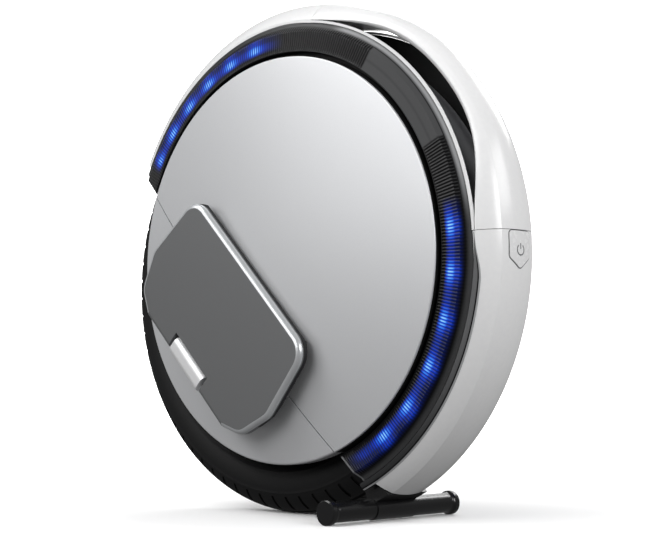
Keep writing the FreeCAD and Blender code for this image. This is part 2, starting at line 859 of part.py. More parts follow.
def make_handle():
    step = 2 * handle_half_angle / (handle_section_count - 1)
    angles = [step * index - handle_front_angle for index in range(handle_section_count)]
    bar = Part.makeLoft([handle_wire(angle) for angle in angles], True, False)
    return bar.cut(pad_ring(fit_gap))


def make_trim():
    low = light_handle_radius + seat_gap
    return ring(low, low + trim_height, trim_inner_half, trim_outer_half, body_rise,
                -handle_front_angle, 2 * handle_half_angle)


# Power button and switch on the rear shell
def crown_prism(length, width, corner, grow, pointed=0.0):
    """Upright prism at the top of the shell; its far end can be drawn out to a point."""
    half = width / 2 + grow
    near = -length / 2 - grow
    far = length / 2 + grow
    base = body_rise + shell_crown_radius - prism_reach
    corners = [(near, -half), (near, half), (far - length * pointed, half)]
    if pointed:
        corners.append((far, 0.0))
    corners += [(far - length * pointed, -half), (near, -half)]
    face = Part.Face(Part.makePolygon([Vector(x, y, base) for x, y in corners]))
    return rounded(face.extrude(UP * (2 * prism_reach)), corner, UP)


def button_angle():
    length_angle = math.degrees((button_length / 2 + button_top_offset) / shell_crown_radius)
    return handle_rear_angle + length_angle


def button_prism(grow):
    prism = crown_prism(button_length, button_width, button_corner, grow, button_point_share / 2)
    return swung(prism, button_angle(), body_rise)


def make_rear_shell():
    holes = [light_prism(seat_gap), button_prism(button_gap), stand_tongue(fit_gap)] + stand_screws(fit_gap)
    return make_shell(handle_rear_angle).cut(holes)


def outward(angle):
    return body_point(1.0, angle) - body_point(0.0, angle)


def make_button():
    blank = shell_blank(handle_rear_angle, RIGHT_ANGLE / 2)
    button = button_prism(0.0).common(blank)
    button.translate(outward(button_angle()) * button_proud)
    return button


def make_switch():
    """Switch module: a curved tray hung under the shell, one button travel below the button."""
    blank = shell_blank(handle_rear_angle + 2 * panel_gap_angle, RIGHT_ANGLE / 2)
    inward = outward(button_angle()) * -1
    rim = blank.copy()
    rim.translate(inward * (shell_wall + seat_gap))
    floor = blank.copy()
    floor.translate(inward * (shell_wall + button_travel + button_gap))
    wide = button_prism(switch_margin)
    edge = wide.cut(button_prism(button_gap + seat_gap)).common(rim)
    return edge.fuse(wide.common(floor)).removeSplitter()


# Charge port on the front shell, drawn at the rear and mirrored
def port_prism(grow):
    return swung(crown_prism(port_length, port_width, port_corner, grow), port_angle, body_rise)


def hinge_spot():
    offset = port_length / 2 + hinge_barrel_radius - hinge_barrel_bite
    height = math.sqrt(shell_crown_radius * shell_crown_radius - offset * offset) - hinge_depth
    return offset, body_rise + height


def port_hinge(radius, half):
    return swung(rod(radius, -half, half, *hinge_spot()), port_angle, body_rise)


def make_port_cap():
    lid = port_prism(0.0).common(shell_blank(handle_rear_angle, RIGHT_ANGLE / 2))
    cap = lid.fuse(port_hinge(hinge_barrel_radius, hinge_barrel_half)).removeSplitter()
    return cap.cut(port_hinge(hinge_pin_radius + running_gap, reach))


def barrel_space():
    """Room for the hinge barrel, open outwards and as wide as the cap, so that the cap can stand up."""
    radius = hinge_barrel_radius + button_gap
    half = port_width / 2 + button_gap
    offset, height = hinge_spot()
    slot = block(offset - radius, offset + radius + button_gap, -half, half, height, height + prism_reach)
    barrel = port_hinge(radius, hinge_barrel_half + button_gap)
    return barrel.fuse(swung(slot, port_angle, body_rise))


def make_front_shell():
    holes = [port_prism(button_gap), barrel_space(),
             port_hinge(hinge_pin_radius + fit_gap, hinge_pin_half + fit_gap)]
    return forward(make_shell(handle_front_angle).cut(holes)).cut(light_prism(seat_gap))


def crown_rod(radius, low, high):
    """Round rod that stands on the shell at the charge port."""
    start = Vector(0, 0, body_rise + low)
    return swung(Part.makeCylinder(radius, high - low, start, UP), port_angle, body_rise)


def make_inlet():
    mouth = shell_crown_radius - shell_wall - inlet_recess_depth
    floor = mouth - inlet_bore_depth
    body = crown_rod(inlet_radius, floor - inlet_floor, shell_crown_radius).common(shell_space(button_gap))
    body = body.cut([crown_rod(inlet_recess_radius, mouth, shell_crown_radius), barrel_space()])
    return body.cut(crown_rod(inlet_bore_radius, floor, shell_crown_radius))


# Hangers and pedals
def make_hanger():
    hub = rod(hanger_hub_radius, hanger_inner_half, hanger_hub_outer_half)
    arm_low = -hinge_drop - knuckle_size / 2
    arm = block(-hanger_arm_half, hanger_arm_half, hanger_arm_inner_half, hanger_hub_outer_half, arm_low, 0.0)
    half = knuckle_size / 2
    knuckle = block(-knuckle_half, knuckle_half, hanger_arm_inner_half, hinge_half + half,
                    arm_low, half - hinge_drop)
    hanger = hub.fuse([arm, knuckle]).removeSplitter()
    edges = [edge for edge in hanger.Edges
             if isinstance(edge.Curve, Part.Line) and abs(edge.Curve.Direction.x) > 0.5
             and edge.CenterOfMass.y > hinge_half]
    hanger = hanger.makeFillet(knuckle_corner, edges)
    hole = Part.makeCylinder(pin_radius + fit_gap, 2 * knuckle_half + 2 * knuckle_corner,
                             Vector(-knuckle_half - knuckle_corner, hinge_half, -hinge_drop), REAR)
    return hanger.cut([hole, rod(axle_seat_radius + fit_gap, 0.0, reach)])


def make_pin():
    return Part.makeCylinder(pin_radius, 2 * pin_half, Vector(-pin_half, hinge_half, -hinge_drop), REAR)


def pedal_plate(low, high):
    """Plate with the pedal's side outline; its corners are round, but sharp at the hinge edge."""
    front = tuple((-x, z) for x, z in reversed(pedal_outline))
    corners = [Vector(x, low, z) for x, z in pedal_outline + front + pedal_outline[:1]]
    plate = Part.Face(Part.makePolygon(corners)).extrude(AXLE * (high - low))
    return rounded(plate, pedal_corner, AXLE, -hinge_drop)


def make_pedal():
    """Plate with a round outer edge, a notch for the hanger's knuckle and a recess for the foot pad."""
    plate = pedal_plate(pedal_inner_half, pedal_outer_half)
    outer = [edge for edge in plate.Edges
             if min(vertex.Point.y for vertex in edge.Vertexes) > pedal_outer_half - fit_gap]
    plate = plate.makeFillet(pedal_edge_round, outer)
    notch = block(-notch_half, notch_half, 0.0, reach, -reach, notch_top)
    recess = block(-reach, reach, 0.0, pedal_inner_half + pedal_pad_thickness + fit_gap,
                   -pedal_pad_bottom - fit_gap, reach)
    end = Vector(-reach, hinge_half, -hinge_drop)
    bore = Part.makeCylinder(pin_radius + running_gap, 2 * reach, end, REAR)
    return plate.cut([notch, recess, bore])


def make_pedal_pad():
    pad = pedal_plate(pedal_inner_half, pedal_inner_half + pedal_pad_thickness)
    return pad.common(block(-reach, reach, 0.0, reach, -pedal_pad_bottom, reach))


# Battery, control board and motor cable
def make_cells():
    depth = pan_inner_half + pan_wall + cell_gap + cell_radius
    pitch = 2 * cell_radius + cell_gap
    cells = []
    for index in range(cell_top_count):
        x = (index - (cell_top_count - 1) / 2) * pitch
        cells.append(Part.makeCylinder(cell_radius, cell_length, Vector(x, depth, cell_top_start), UP))
    for index in range(cell_side_count):
        z = index * pitch - cell_side_low
        for start in (cell_side_start, -cell_side_start - cell_length):
            if z + cell_radius < cell_top_start:
                cells.append(Part.makeCylinder(cell_radius, cell_length, Vector(start, depth, z), REAR))
    return cells


def sink_low():
    return pan_inner_half + pan_wall + circuit_gap


def make_heat_sink():
    low = sink_low()
    return block(-sink_width / 2, sink_width / 2, low, low + sink_thickness,
                 sink_start, sink_start + sink_height)


def circuit_top():
    return sink_low() + sink_thickness + circuit_gap + circuit_thickness


def make_circuit():
    high = circuit_top()
    return block(-sink_width / 2, sink_width / 2, high - circuit_thickness, high,
                 sink_start, sink_start + sink_height)


def make_circuit_parts():
    """Power transistors in a row, two capacitors above them and the motor connector below."""
    low = circuit_top() + fit_gap
    pieces = []
    pitch = sink_width / chip_count
    for index in range(chip_count):
        x = (index - (chip_count - 1) / 2) * pitch
        pieces.append(block(x - chip_width / 2, x + chip_width / 2, low, low + chip_thickness,
                            sink_start + chip_height, sink_start + 2 * chip_height))
    for x in (-sink_width / 4, sink_width / 4):
        pieces.append(rod(can_radius, low, low + can_height, x, sink_start + 3 * chip_height))
    pieces.append(block(-connector_width / 2, connector_width / 2, low, low + connector_depth,
                        sink_start, sink_start + connector_height))
    return pieces


def make_cable():
    """Motor cable: out of the hollow axle, round a bend and up to the connector."""
    end = axle_half + fit_gap
    turn = Vector(0, end + cable_bend, cable_bend)
    middle = math.sqrt(0.5) * cable_bend
    path = Part.Wire([
        Part.LineSegment(Vector(0, cable_start, 0), Vector(0, end, 0)).toShape(),
        Part.Arc(Vector(0, end, 0), Vector(0, end + middle, cable_bend - middle), turn).toShape(),
        Part.LineSegment(turn, Vector(0, turn.y, sink_start - fit_gap)).toShape()])
    circle = Part.Wire(Part.makeCircle(cable_radius, Vector(0, cable_start, 0), AXLE))
    return path.makePipeShell([circle], True, False)


# Stand
def below_shell(grow):
    return block(-reach, reach, -reach, reach, -reach, grow - shell_end_drop)


def stand_tongue(grow):
    """Tongue of the stand bracket, which fills the crown of the rear shell from inside."""
    half = tongue_half + grow
    blank = ring(tongue_inner_radius - grow, shell_crown_radius, -half, half, body_rise,
                 tongue_angle, shell_sweep_angle - tongue_angle)
    return blank.common(shell_space(fit_gap - grow))


def stand_screws(grow):
    """Two screws through the tongue into the shell, heads sunk into the tongue."""
    screws = []
    for y in (-stand_screw_half, stand_screw_half):
        low = body_rise + tongue_inner_radius
        high = body_rise + shell_crown_radius - shell_wall + stand_screw_bite + grow
        head = Part.makeCylinder(stand_screw_head_radius + grow, stand_screw_head_height + 2 * grow,
                                 Vector(0, y, low - grow), UP)
        shank = Part.makeCylinder(stand_screw_radius + grow, high - low, Vector(0, y, low), UP)
        screws.append(swung(head.fuse(shank).removeSplitter(), stand_screw_angle, body_rise))
    return screws


def stand_angle():
    return math.degrees(math.atan2(stand_x, stand_z - body_rise))


def make_stand_bracket():
    arm = ring(bracket_inner_radius, bracket_outer_radius, -stand_bracket_half, stand_bracket_half, body_rise,
               tongue_angle, stand_angle() - tongue_angle).common(below_shell(-panel_gap))
    sleeve = rod(stand_sleeve_radius, -stand_bracket_half, stand_bracket_half, stand_x, stand_z)
    bracket = arm.fuse([stand_tongue(0.0), sleeve]).removeSplitter()
    bar_hole = rod(stand_bar_radius + fit_gap, -reach, reach, stand_x, stand_z)
    return bracket.cut([bar_hole] + stand_screws(fit_gap))


def make_stand_bar():
    half = stand_half - stand_end_wall - fit_gap
    return rod(stand_bar_radius, -half, half, stand_x, stand_z)


def make_stand_foot():
    """Sleeve over one end of the bar, flared to a foot that rests on the floor."""
    low = stand_bracket_half + panel_gap
    bore = stand_bar_radius + fit_gap
    flare_start = stand_half - stand_foot_length - stand_flare
    flare_end = stand_half - stand_foot_length
    flare_share = math.sqrt(0.5)
    bend = (stand_foot_radius - (stand_foot_radius - stand_grip_radius) * flare_share,
            flare_start + stand_flare * flare_share)
    steps = ((bore, low), (stand_grip_radius, low), (stand_grip_radius, flare_start),
             (bend, (stand_foot_radius, flare_end)), (stand_foot_radius, stand_half - stand_foot_bevel),
             (stand_foot_radius - stand_foot_bevel, stand_half), (0.0, stand_half),
             (0.0, stand_half - stand_end_wall), (bore, stand_half - stand_end_wall))
    foot = turned(steps, 0.0)
    foot.translate(Vector(stand_x, 0, stand_z))
    return foot


# Build and write every piece
def save_pair(name, shape):
    save("right_" + name, shape)
    save("left_" + name, mirrored(shape))


def group(pieces):
    return Part.makeCompound(pieces)


def both_sides(pieces):
    return group(pieces + [mirrored(piece) for piece in pieces])


save("tyre", make_tyre())
save("inner_tube", make_tube())
save("valve_stem", make_valve())
save("rim", make_rim())
save_pair("motor_cover", make_motor_cover())
save("motor_cover_screws", both_sides(make_cover_screws()))
save("rotor_back_iron", make_back_iron())
save("rotor_magnets", group(make_magnets()))
save("stator_core", make_stator())
save("stator_coils", group(make_coils()))
save("axle", make_axle())
save("bearing_inner_races", both_sides([make_inner_race()]))
save("bearing_outer_races", both_sides([make_outer_race()]))
save("bearing_balls", both_sides(make_balls()))
save("axle_nuts", both_sides([make_axle_nut()]))

save_pair("upper_cover", make_upper_cover())
save_pair("lower_cover", make_lower_cover())
save_pair("light_cover", make_light_cover())
save_pair("light_board", make_light_board())
save_pair("leds", group(make_leds()))
save_pair("frame", make_frame())

save("rear_shell", make_rear_shell())
save("front_shell", make_front_shell())
save("handle", make_handle())
save("handle_pad", pad_ring(0.0))
save_pair("handle_trim", make_trim())
save("power_button", make_button())
save("power_switch", make_switch())
save("port_cap", forward(make_port_cap()))
save("port_cap_pin", forward(port_hinge(hinge_pin_radius, hinge_pin_half)))
save("charge_inlet", forward(make_inlet()))

save_pair("hanger", make_hanger())
save_pair("hinge_pin", make_pin())
save_pair("pedal", make_pedal())
save_pair("pedal_pad", make_pedal_pad())

save("battery_cells", mirrored(group(make_cells())))
save("heat_sink", make_heat_sink())
save("control_board", make_circuit())
save("control_board_parts", group(make_circuit_parts()))
save("motor_cable", make_cable())

save("stand_bracket", make_stand_bracket())
save("stand_bar", make_stand_bar())
save("stand_feet", both_sides([make_stand_foot()]))
save("stand_screws", group(stand_screws(0.0)))
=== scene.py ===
# %% [markdown]
# # An electric unicycle, parked on its stand
# The machine leans back 45 degrees on a short bar behind its wheel.  The CAD model is the frame:
# every piece below sits in the same place and in the same metres, and most CAD pieces only get a
# better finish.  New pieces are made where the CAD solid is plainer than the real thing, such as
# the tyre's tread and the fine ribs of the light rings.

# %% Load the frame
import json
import math

import bmesh
import bpy
import numpy as np
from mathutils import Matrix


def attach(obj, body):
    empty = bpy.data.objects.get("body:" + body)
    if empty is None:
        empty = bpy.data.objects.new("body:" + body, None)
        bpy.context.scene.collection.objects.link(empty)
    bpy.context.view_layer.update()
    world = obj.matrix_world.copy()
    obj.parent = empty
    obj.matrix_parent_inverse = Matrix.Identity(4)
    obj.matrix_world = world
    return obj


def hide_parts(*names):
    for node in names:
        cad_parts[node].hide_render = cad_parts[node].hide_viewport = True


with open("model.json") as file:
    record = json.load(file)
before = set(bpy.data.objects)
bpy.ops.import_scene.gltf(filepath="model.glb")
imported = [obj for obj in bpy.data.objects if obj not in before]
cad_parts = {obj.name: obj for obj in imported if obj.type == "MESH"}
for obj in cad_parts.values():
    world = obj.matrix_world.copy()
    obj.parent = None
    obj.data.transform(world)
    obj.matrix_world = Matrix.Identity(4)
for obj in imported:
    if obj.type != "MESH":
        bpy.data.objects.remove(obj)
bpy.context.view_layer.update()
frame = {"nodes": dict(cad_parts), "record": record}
nodes = frame["nodes"]

# %% [markdown]
# ## Sizes that the pieces share
# A unicycle is built round two centres: the axle, and the centre of the body a little above it.
# All curves of the body are circles about the second one.  The numbers repeat the CAD's sizes,
# in metres, so that each new surface lands on its own solid.

# %% Shared sizes
MM = 0.001
TYRE_RADIUS = 203 * MM
BODY_RISE = 26 * MM
SEAM_DROP = 43 * MM
SEAM_GAP = 0.8 * MM
PLATE_HALF = 33.05 * MM
STAND_DISTANCE = TYRE_RADIUS + 17.96 * MM
STAND_FOOT = 10.4 * MM
LEAN = math.asin((TYRE_RADIUS - STAND_FOOT) / STAND_DISTANCE) - math.radians(15.62)


def parked(points):
    """Lean upright points back about the axle and lift them so that the tyre meets the floor.

    x' = x cos(lean) + z sin(lean), z' = z cos(lean) - x sin(lean) + tyre radius; y stays."""
    x, y, z = np.moveaxis(np.asarray(points, float), -1, 0)
    turn_cos, turn_sin = math.cos(LEAN), math.sin(LEAN)
    return np.stack([x * turn_cos + z * turn_sin, y, z * turn_cos - x * turn_sin + TYRE_RADIUS], -1)


def ring_points(radius, angle, y, rise):
    """Upright points at a radius and an angle from straight up, about a centre at the given rise."""
    radius, angle, y = np.broadcast_arrays(radius, angle, y)
    return np.stack([radius * np.sin(angle), y, rise + radius * np.cos(angle)], -1)


def swept(radius, degrees, y, rise=BODY_RISE):
    """Parked points from a radius and a y in mm and an angle in degrees, about a centre at the rise."""
    return parked(ring_points(radius * MM, np.radians(degrees), y * MM, rise))


def smooth_step(value, start, end):
    """0 before start, 1 after end and 3t^2 - 2t^3 between them."""
    t = np.clip((value - start) / (end - start), 0, 1)
    return t * t * (3 - 2 * t)


def between(value, rise_start, rise_end, fall_start, fall_end):
    """A smooth step up times a smooth step down: 1 on the plateau, 0 outside."""
    return smooth_step(value, rise_start, rise_end) * smooth_step(-value, -fall_end, -fall_start)


print("lean in degrees:", round(math.degrees(LEAN), 2))

# %% [markdown]
# ## Camera
# The photograph looks at the left side from about 45 degrees, from low down and slightly upwards,
# through a long lens.  Position, aim and focal length were found by fitting the circles of the
# machine, so the camera needs no shift.

# %% Camera
CAMERA_SPOT = (1.0481, -1.0563, 0.1237)
CAMERA_TURN = 43.554
CAMERA_TILT = 3.454
LENS = 89.6

camera = bpy.data.objects.new("camera", bpy.data.cameras.new("camera"))
camera.location = CAMERA_SPOT
camera.rotation_euler = (math.radians(90 + CAMERA_TILT), 0, math.radians(CAMERA_TURN))
camera.data.lens = LENS
camera.data.sensor_width = 36
camera.data.clip_end = 100
bpy.context.scene.collection.objects.link(camera)
bpy.context.scene.camera = camera
print("camera at", CAMERA_SPOT, "lens", LENS)

# %% [markdown]
# ## Materials
# One helper turns sRGB hex colours into the linear numbers that the shader wants, and one adds a
# node.  Moulded, cast and painted surfaces all show a fine grain: a trace of colour change, a
# change of gloss and a tiny height.  `grained` makes that from one noise on Object coordinates,
# whose scale is worked out from a grain size in millimetres.  Real grain is often finer than a
# pixel here, so it is drawn a little coarser than life.

# %% Material helpers


def linear(hex_colour):
    """sRGB hex to linear colour: c / 12.92 below 0.04045, else ((c + 0.055) / 1.055) ^ 2.4."""
    values = [int(hex_colour[i:i + 2], 16) / 255 for i in (1, 3, 5)]
    return [v / 12.92 if v <= 0.04045 else ((v + 0.055) / 1.055) ** 2.4 for v in values] + [1.0]


def add(tree, kind, inputs, **settings):
    """Add one node: settings are its properties, inputs are values or sockets to link."""
    node = tree.nodes.new(kind)
    for name, value in settings.items():
        setattr(node, name, value)
    for name, value in inputs.items():
        if isinstance(value, bpy.types.NodeSocket):
            tree.links.new(value, node.inputs[name])
        else:
            node.inputs[name].default_value = value
    return node


def plain(name, **values):
    """A material with one Principled shader; values go on the shader's own sockets."""
    material = bpy.data.materials.new(name)
    material.use_nodes = True
    shader = material.node_tree.nodes["Principled BSDF"]
    for key, value in values.items():
        shader.inputs[key.replace("_", " ").title().replace("Ior", "IOR")].default_value = value
    return material, material.node_tree, shader


def grained(name, dark, light, grain_mm, gloss, depth_mm, **values):
    """Colour, roughness and height that all follow one fine grain."""
    material, tree, shader = plain(name, **values)
    place = add(tree, "ShaderNodeTexCoord", {})
    noise = {"Vector": place.outputs["Object"], "Scale": 1 / (grain_mm * MM), "Detail": 2.0}
    grain = add(tree, "ShaderNodeTexNoise", noise).outputs["Fac"]
    colour = add(tree, "ShaderNodeMix", {0: grain, 6: linear(dark), 7: linear(light)}, data_type="RGBA")
    rough = add(tree, "ShaderNodeMapRange", {"Value": grain, "To Min": gloss[0], "To Max": gloss[1]})
    height = add(tree, "ShaderNodeBump", {"Height": grain, "Strength": 0.4, "Distance": depth_mm * MM})
    tree.links.new(colour.outputs[2], shader.inputs["Base Color"])
    tree.links.new(rough.outputs["Result"], shader.inputs["Roughness"])
    tree.links.new(height.outputs["Normal"], shader.inputs["Normal"])
    return material


# %% [markdown]
# ## Finishes
# The side covers are ABS with satin silver paint: fine metal flake under a dull clear coat gives a
# soft, wide highlight.  Shells and handle are white gloss ABS from a polished mould.  The pedal is
# bead-blasted aluminium, anodised grey, and the knuckle of its hinge is the same metal left pale.
# Rubber is dull and black, with a grey bloom.  The hidden motor and electronics have the finishes
# that such parts have.

# %% Finishes
FINISHES = {
    "silver_cover": grained("satin silver paint", "#C9CACC", "#D1D2D4", 0.6, (0.38, 0.44), 0.006,
                            metallic=0.4, coat_weight=0.1, coat_roughness=0.35),
    "white_shell": grained("gloss white ABS", "#E2E2E3", "#E8E8E8", 4.0, (0.2, 0.26), 0.004, ior=1.53),
    "button_white": grained("gloss white ABS button", "#DEDEDF", "#E4E4E4", 4.0, (0.24, 0.3), 0.004,
                            ior=1.53),
    "cap_white": grained("gloss white ABS cap", "#E2E2E3", "#E8E8E8", 4.0, (0.22, 0.28), 0.004, ior=1.53),
    "smoke_lens": grained("smoked polycarbonate", "#050506", "#08090B", 2.0, (0.14, 0.22), 0.004, ior=1.58),
    "black_frame": grained("textured black nylon", "#0C0C0D", "#131315", 0.9, (0.5, 0.62), 0.03, ior=1.4),
    "switch_black": grained("black nylon", "#141415", "#1A1A1C", 0.9, (0.45, 0.55), 0.03),
    "grip_rubber": grained("grey soft rubber", "#56575A", "#616265", 0.8, (0.65, 0.8), 0.05),
    "tyre": grained("tyre rubber", "#070708", "#0D0D0E", 1.4, (0.62, 0.75), 0.04, ior=1.35),
    "tube": grained("butyl rubber", "#161617", "#1C1C1D", 1.2, (0.6, 0.7), 0.03),
    "pedal_alloy": grained("grey anodised aluminium", "#747576", "#7C7D7E", 0.7, (0.4, 0.48), 0.012,
                           metallic=0.6),
    "pedal_rubber": grained("foot pad rubber", "#0F0F10", "#17171A", 1.0, (0.6, 0.75), 0.05),
    "hanger_alloy": grained("satin aluminium", "#E6E7E8", "#F0F0F1", 0.7, (0.34, 0.42), 0.01, metallic=0.4),
    "alloy": grained("cast aluminium", "#9FA1A3", "#ADAFB1", 1.0, (0.4, 0.5), 0.03, metallic=0.9),
    "steel": grained("plain steel", "#8E9093", "#9B9DA0", 0.8, (0.28, 0.36), 0.02, metallic=1.0),
    "magnet": grained("nickel plate", "#A7A9AC", "#B5B7BA", 0.8, (0.18, 0.24), 0.01, metallic=1.0),
    "lamination": grained("electrical steel", "#55585B", "#63666A", 0.8, (0.38, 0.46), 0.02, metallic=1.0),
    "copper": grained("enamelled copper", "#A0522A", "#BC6A38", 1.0, (0.25, 0.35), 0.04, metallic=1.0),
    "valve_brass": grained("brass", "#A98A4A", "#BA9B58", 0.8, (0.25, 0.32), 0.02, metallic=1.0),
    "light_board": grained("black circuit board", "#0B0C0E", "#111216", 1.0, (0.35, 0.45), 0.02),
    "led": grained("LED resin", "#2A6BFF", "#5B9BFF", 0.8, (0.2, 0.3), 0.01),
    "cell": grained("heat-shrink sleeve", "#2A5F8A", "#346C99", 1.4, (0.3, 0.4), 0.02),
    "board_green": grained("green solder mask", "#114D2B", "#186036", 1.2, (0.3, 0.4), 0.02),
    "component_black": grained("black epoxy", "#161617", "#1E1E20", 1.0, (0.4, 0.5), 0.02),
    "cable_black": grained("cable sheath", "#121213", "#19191A", 1.0, (0.4, 0.5), 0.02),
    "stand_black": grained("satin black paint", "#0C0C0D", "#131314", 0.8, (0.17, 0.23), 0.002,
                           coat_weight=0.7, coat_roughness=0.12),
    "stand_plastic": grained("satin black nylon", "#0E0E0F", "#151516", 0.8, (0.2, 0.28), 0.012),
}
for part in frame["record"]["subparts"]:
    nodes[part["node"]].data.materials.clear()
    nodes[part["node"]].data.materials.append(FINISHES[part["material_slot"]])
print("finishes:", len(FINISHES), "on", len(nodes), "CAD pieces")

# %% [markdown]
# ## A closed skin over a grid
# Each new piece is a section carried along a path: rows follow the path and columns go round the
# section.  `skin` joins the columns into loops and closes both ends, or joins the last row to the
# first for a ring.  A dish such as a side cover has a pole instead: its first and last columns
# shrink to one point each.  Normals are then made to point outwards, and edges sharper than 35
# degrees stay crisp.

# %% Skin helper


def skin(name, points, body, slot, finish=None, around=False, poles=False):
    """Mesh over a grid of points that rides on a body, with a record slot and its finish or another."""
    rows, columns = points.shape[:2]
    index = np.arange(rows * columns).reshape(rows, columns)
    if poles:
        index[:, 0], index[:, -1] = index[0, 0], index[0, -1]
    if around:
        index = np.vstack([index, index[:1]])
    if not poles:
        index = np.hstack([index, index[:, :1]])
    quads = np.stack([index[:-1, :-1], index[1:, :-1], index[1:, 1:], index[:-1, 1:]], -1).reshape(-1, 4)
    at_start, at_end = quads[:, 0] == quads[:, 1], quads[:, 2] == quads[:, 3]
    faces = quads[~(at_start | at_end)].tolist() + quads[at_start][:, [0, 2, 3]].tolist()
    faces += quads[at_end][:, [0, 1, 2]].tolist()
    if not around:
        faces += [index[0, :-1].tolist(), index[-1, :-1][::-1].tolist()]
    mesh = bpy.data.meshes.new(name)
    mesh.from_pydata(points.reshape(-1, 3).tolist(), [], faces)
    shape = bmesh.new()
    shape.from_mesh(mesh)
    bmesh.ops.delete(shape, geom=[v for v in shape.verts if not v.link_faces], context="VERTS")
    bmesh.ops.recalc_face_normals(shape, faces=shape.faces)
    shape.to_mesh(mesh)
    shape.free()
    mesh.shade_smooth()
    mesh.set_sharp_from_angle(angle=math.radians(35))
    mesh.materials.append(finish or FINISHES[slot])
    piece = bpy.data.objects.new(name, mesh)
    bpy.context.scene.collection.objects.link(piece)
    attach(piece, body)
    print(name, "faces:", len(mesh.polygons))
    return piece


SIDES = {"right": 1, "left": -1}


def on_side(points, side):
    """The right-hand points, or their mirror image across the wheel's middle plane."""
    return points * np.array([1.0, SIDES[side], 1.0])


# %% [markdown]
# ## Tyre
# A 16-inch tyre with a round crown.  On the real one the tread is moulded: two grooves run round
# it, notches cut the shoulders into blocks, and thin slits cross the middle rib.  Here the section
# is a closed loop of points, and the tread is a radial depth that depends on the angle and on the
# distance from the middle plane.  The grid has its lines just inside and just outside each edge,
# so the blocks are crisp without a dense mesh.

# %% Tyre
CROWN_TOP, CROWN_ROUND = 203.0, 28.4375
TREAD_PITCH, TREAD_BLOCKS, TREAD_START = 5.0, 72, 188.0
GROOVE_START, GROOVE_END, GROOVE_DEPTH = 7.35, 10.65, 2.2
NOTCH_DEPTH, NOTCH_HALF = 2.4, 0.43
SLIT_DEPTH, SLIT_HALF = 1.2, 0.15


def arc_through(start, middle, end, count):
    """Points on the circle through three points: centre from the perpendicular bisectors."""
    (ax, ay), (bx, by), (cx, cy) = start, middle, end
    a, b, c = ax ** 2 + ay ** 2, bx ** 2 + by ** 2, cx ** 2 + cy ** 2
    twice = 2 * (ax * (by - cy) + bx * (cy - ay) + cx * (ay - by))
    ux = (a * (by - cy) + b * (cy - ay) + c * (ay - by)) / twice
    uy = (a * (cx - bx) + b * (ax - cx) + c * (bx - ax)) / twice
    turns = np.unwrap([math.atan2(y - uy, x - ux) for x, y in (start, middle, end)])
    turn = np.linspace(turns[0], turns[2], count)
    radius = math.hypot(ax - ux, ay - uy)
    return np.stack([ux + radius * np.cos(turn), uy + radius * np.sin(turn)], -1)


def tyre_section():
    """Half section as (radius, y) in mm: bead, bulged sidewall with two raised lines, round crown."""
    bead = [(152.5, 13.5), (152.5, 19.0)]
    wall = arc_through((160.5, 19.0), (176.0, 27.0), (189.0, 24.5), 22)
    low_line = np.exp(-((wall[:, 0] - 166.0) / 0.9) ** 2) * 0.7
    high_line = np.exp(-((wall[:, 0] - 184.5) / 0.8) ** 2) * 0.6
    below_bulge = wall[:, 1] < 26.4
    wall[:, 1] += np.where(below_bulge, low_line + high_line, 0.0)
    y = np.array([23.0, 21.0, 18.0, 15.0, 13.0, 12.9, 10.7, 10.6, 9.0, 7.4, 7.3, 5.0, 2.5, 0.0])
    crown = np.stack([CROWN_TOP - CROWN_ROUND + np.sqrt(CROWN_ROUND ** 2 - y ** 2), y], -1)
    return np.vstack([bead, wall, crown])


def tread_depth(angle, y):
    """Depth in mm: grooves 9 mm off the middle, shoulder notches every 5 degrees, slits between them."""
    half_pitch, quarter_pitch = TREAD_PITCH / 2, TREAD_PITCH / 4
    off = np.abs(y)
    shift = np.where(y > 0, 0.0, half_pitch)
    off_notch = np.abs((angle - shift + half_pitch) % TREAD_PITCH - half_pitch)
    off_slit = np.abs((angle + quarter_pitch) % half_pitch - quarter_pitch)
    groove = GROOVE_DEPTH * ((off > GROOVE_START) & (off < GROOVE_END))
    notch = NOTCH_DEPTH * smooth_step(off, 12.9, 13.0) * (off_notch < NOTCH_HALF)
    slit = SLIT_DEPTH * (off < GROOVE_START) * (np.abs(off_slit - quarter_pitch) < SLIT_HALF)
    return np.maximum(np.maximum(groove, notch), slit)


half = tyre_section()
outer = np.vstack([half, half[-2::-1] * (1, -1)])
inner = arc_through((176.0, -22.5), (196.0, 0.0), (176.0, 22.5), 11)
tyre_radius, tyre_y = np.vstack([outer, inner]).T[:, None, :]
edges = np.array([-0.45, -0.41, 0.41, 0.45, 1.08, 1.12, 1.38, 1.42,
                  2.05, 2.09, 2.91, 2.95, 3.58, 3.62, 3.88, 3.92])
turn = (np.arange(TREAD_BLOCKS)[:, None] * TREAD_PITCH + edges).ravel()[:, None]
on_tread = (tyre_radius > TREAD_START) & (np.arange(tyre_radius.size) < len(outer))
tyre_points = swept(tyre_radius - tread_depth(turn, tyre_y) * on_tread, turn, tyre_y, 0.0)
tyre = skin("tread_tyre", tyre_points, "wheel", "tyre", around=True)
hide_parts("tyre")

# %% [markdown]
# ## Upper side covers
# A thin dome over each side, cut straight along the seam above the lower cover.  It is drawn in
# polar form: each row runs from the middle of the dome to the edge, round it and back underneath.
# The edge is the circle, or the straight seam where the seam comes first: r = d / |cos(angle)|.

# %% Upper side covers
COVER_RADIUS, COVER_RIM, COVER_DOME, COVER_WALL = 177 * MM, 44 * MM, 58 * MM, 2.5 * MM
COVER_EDGE = 1.2 * MM
SEAM_EDGE = 0.4 * MM
ROUND_ROWS, SEAM_ROWS = 220, 70
CORNER_STEP = 0.0004


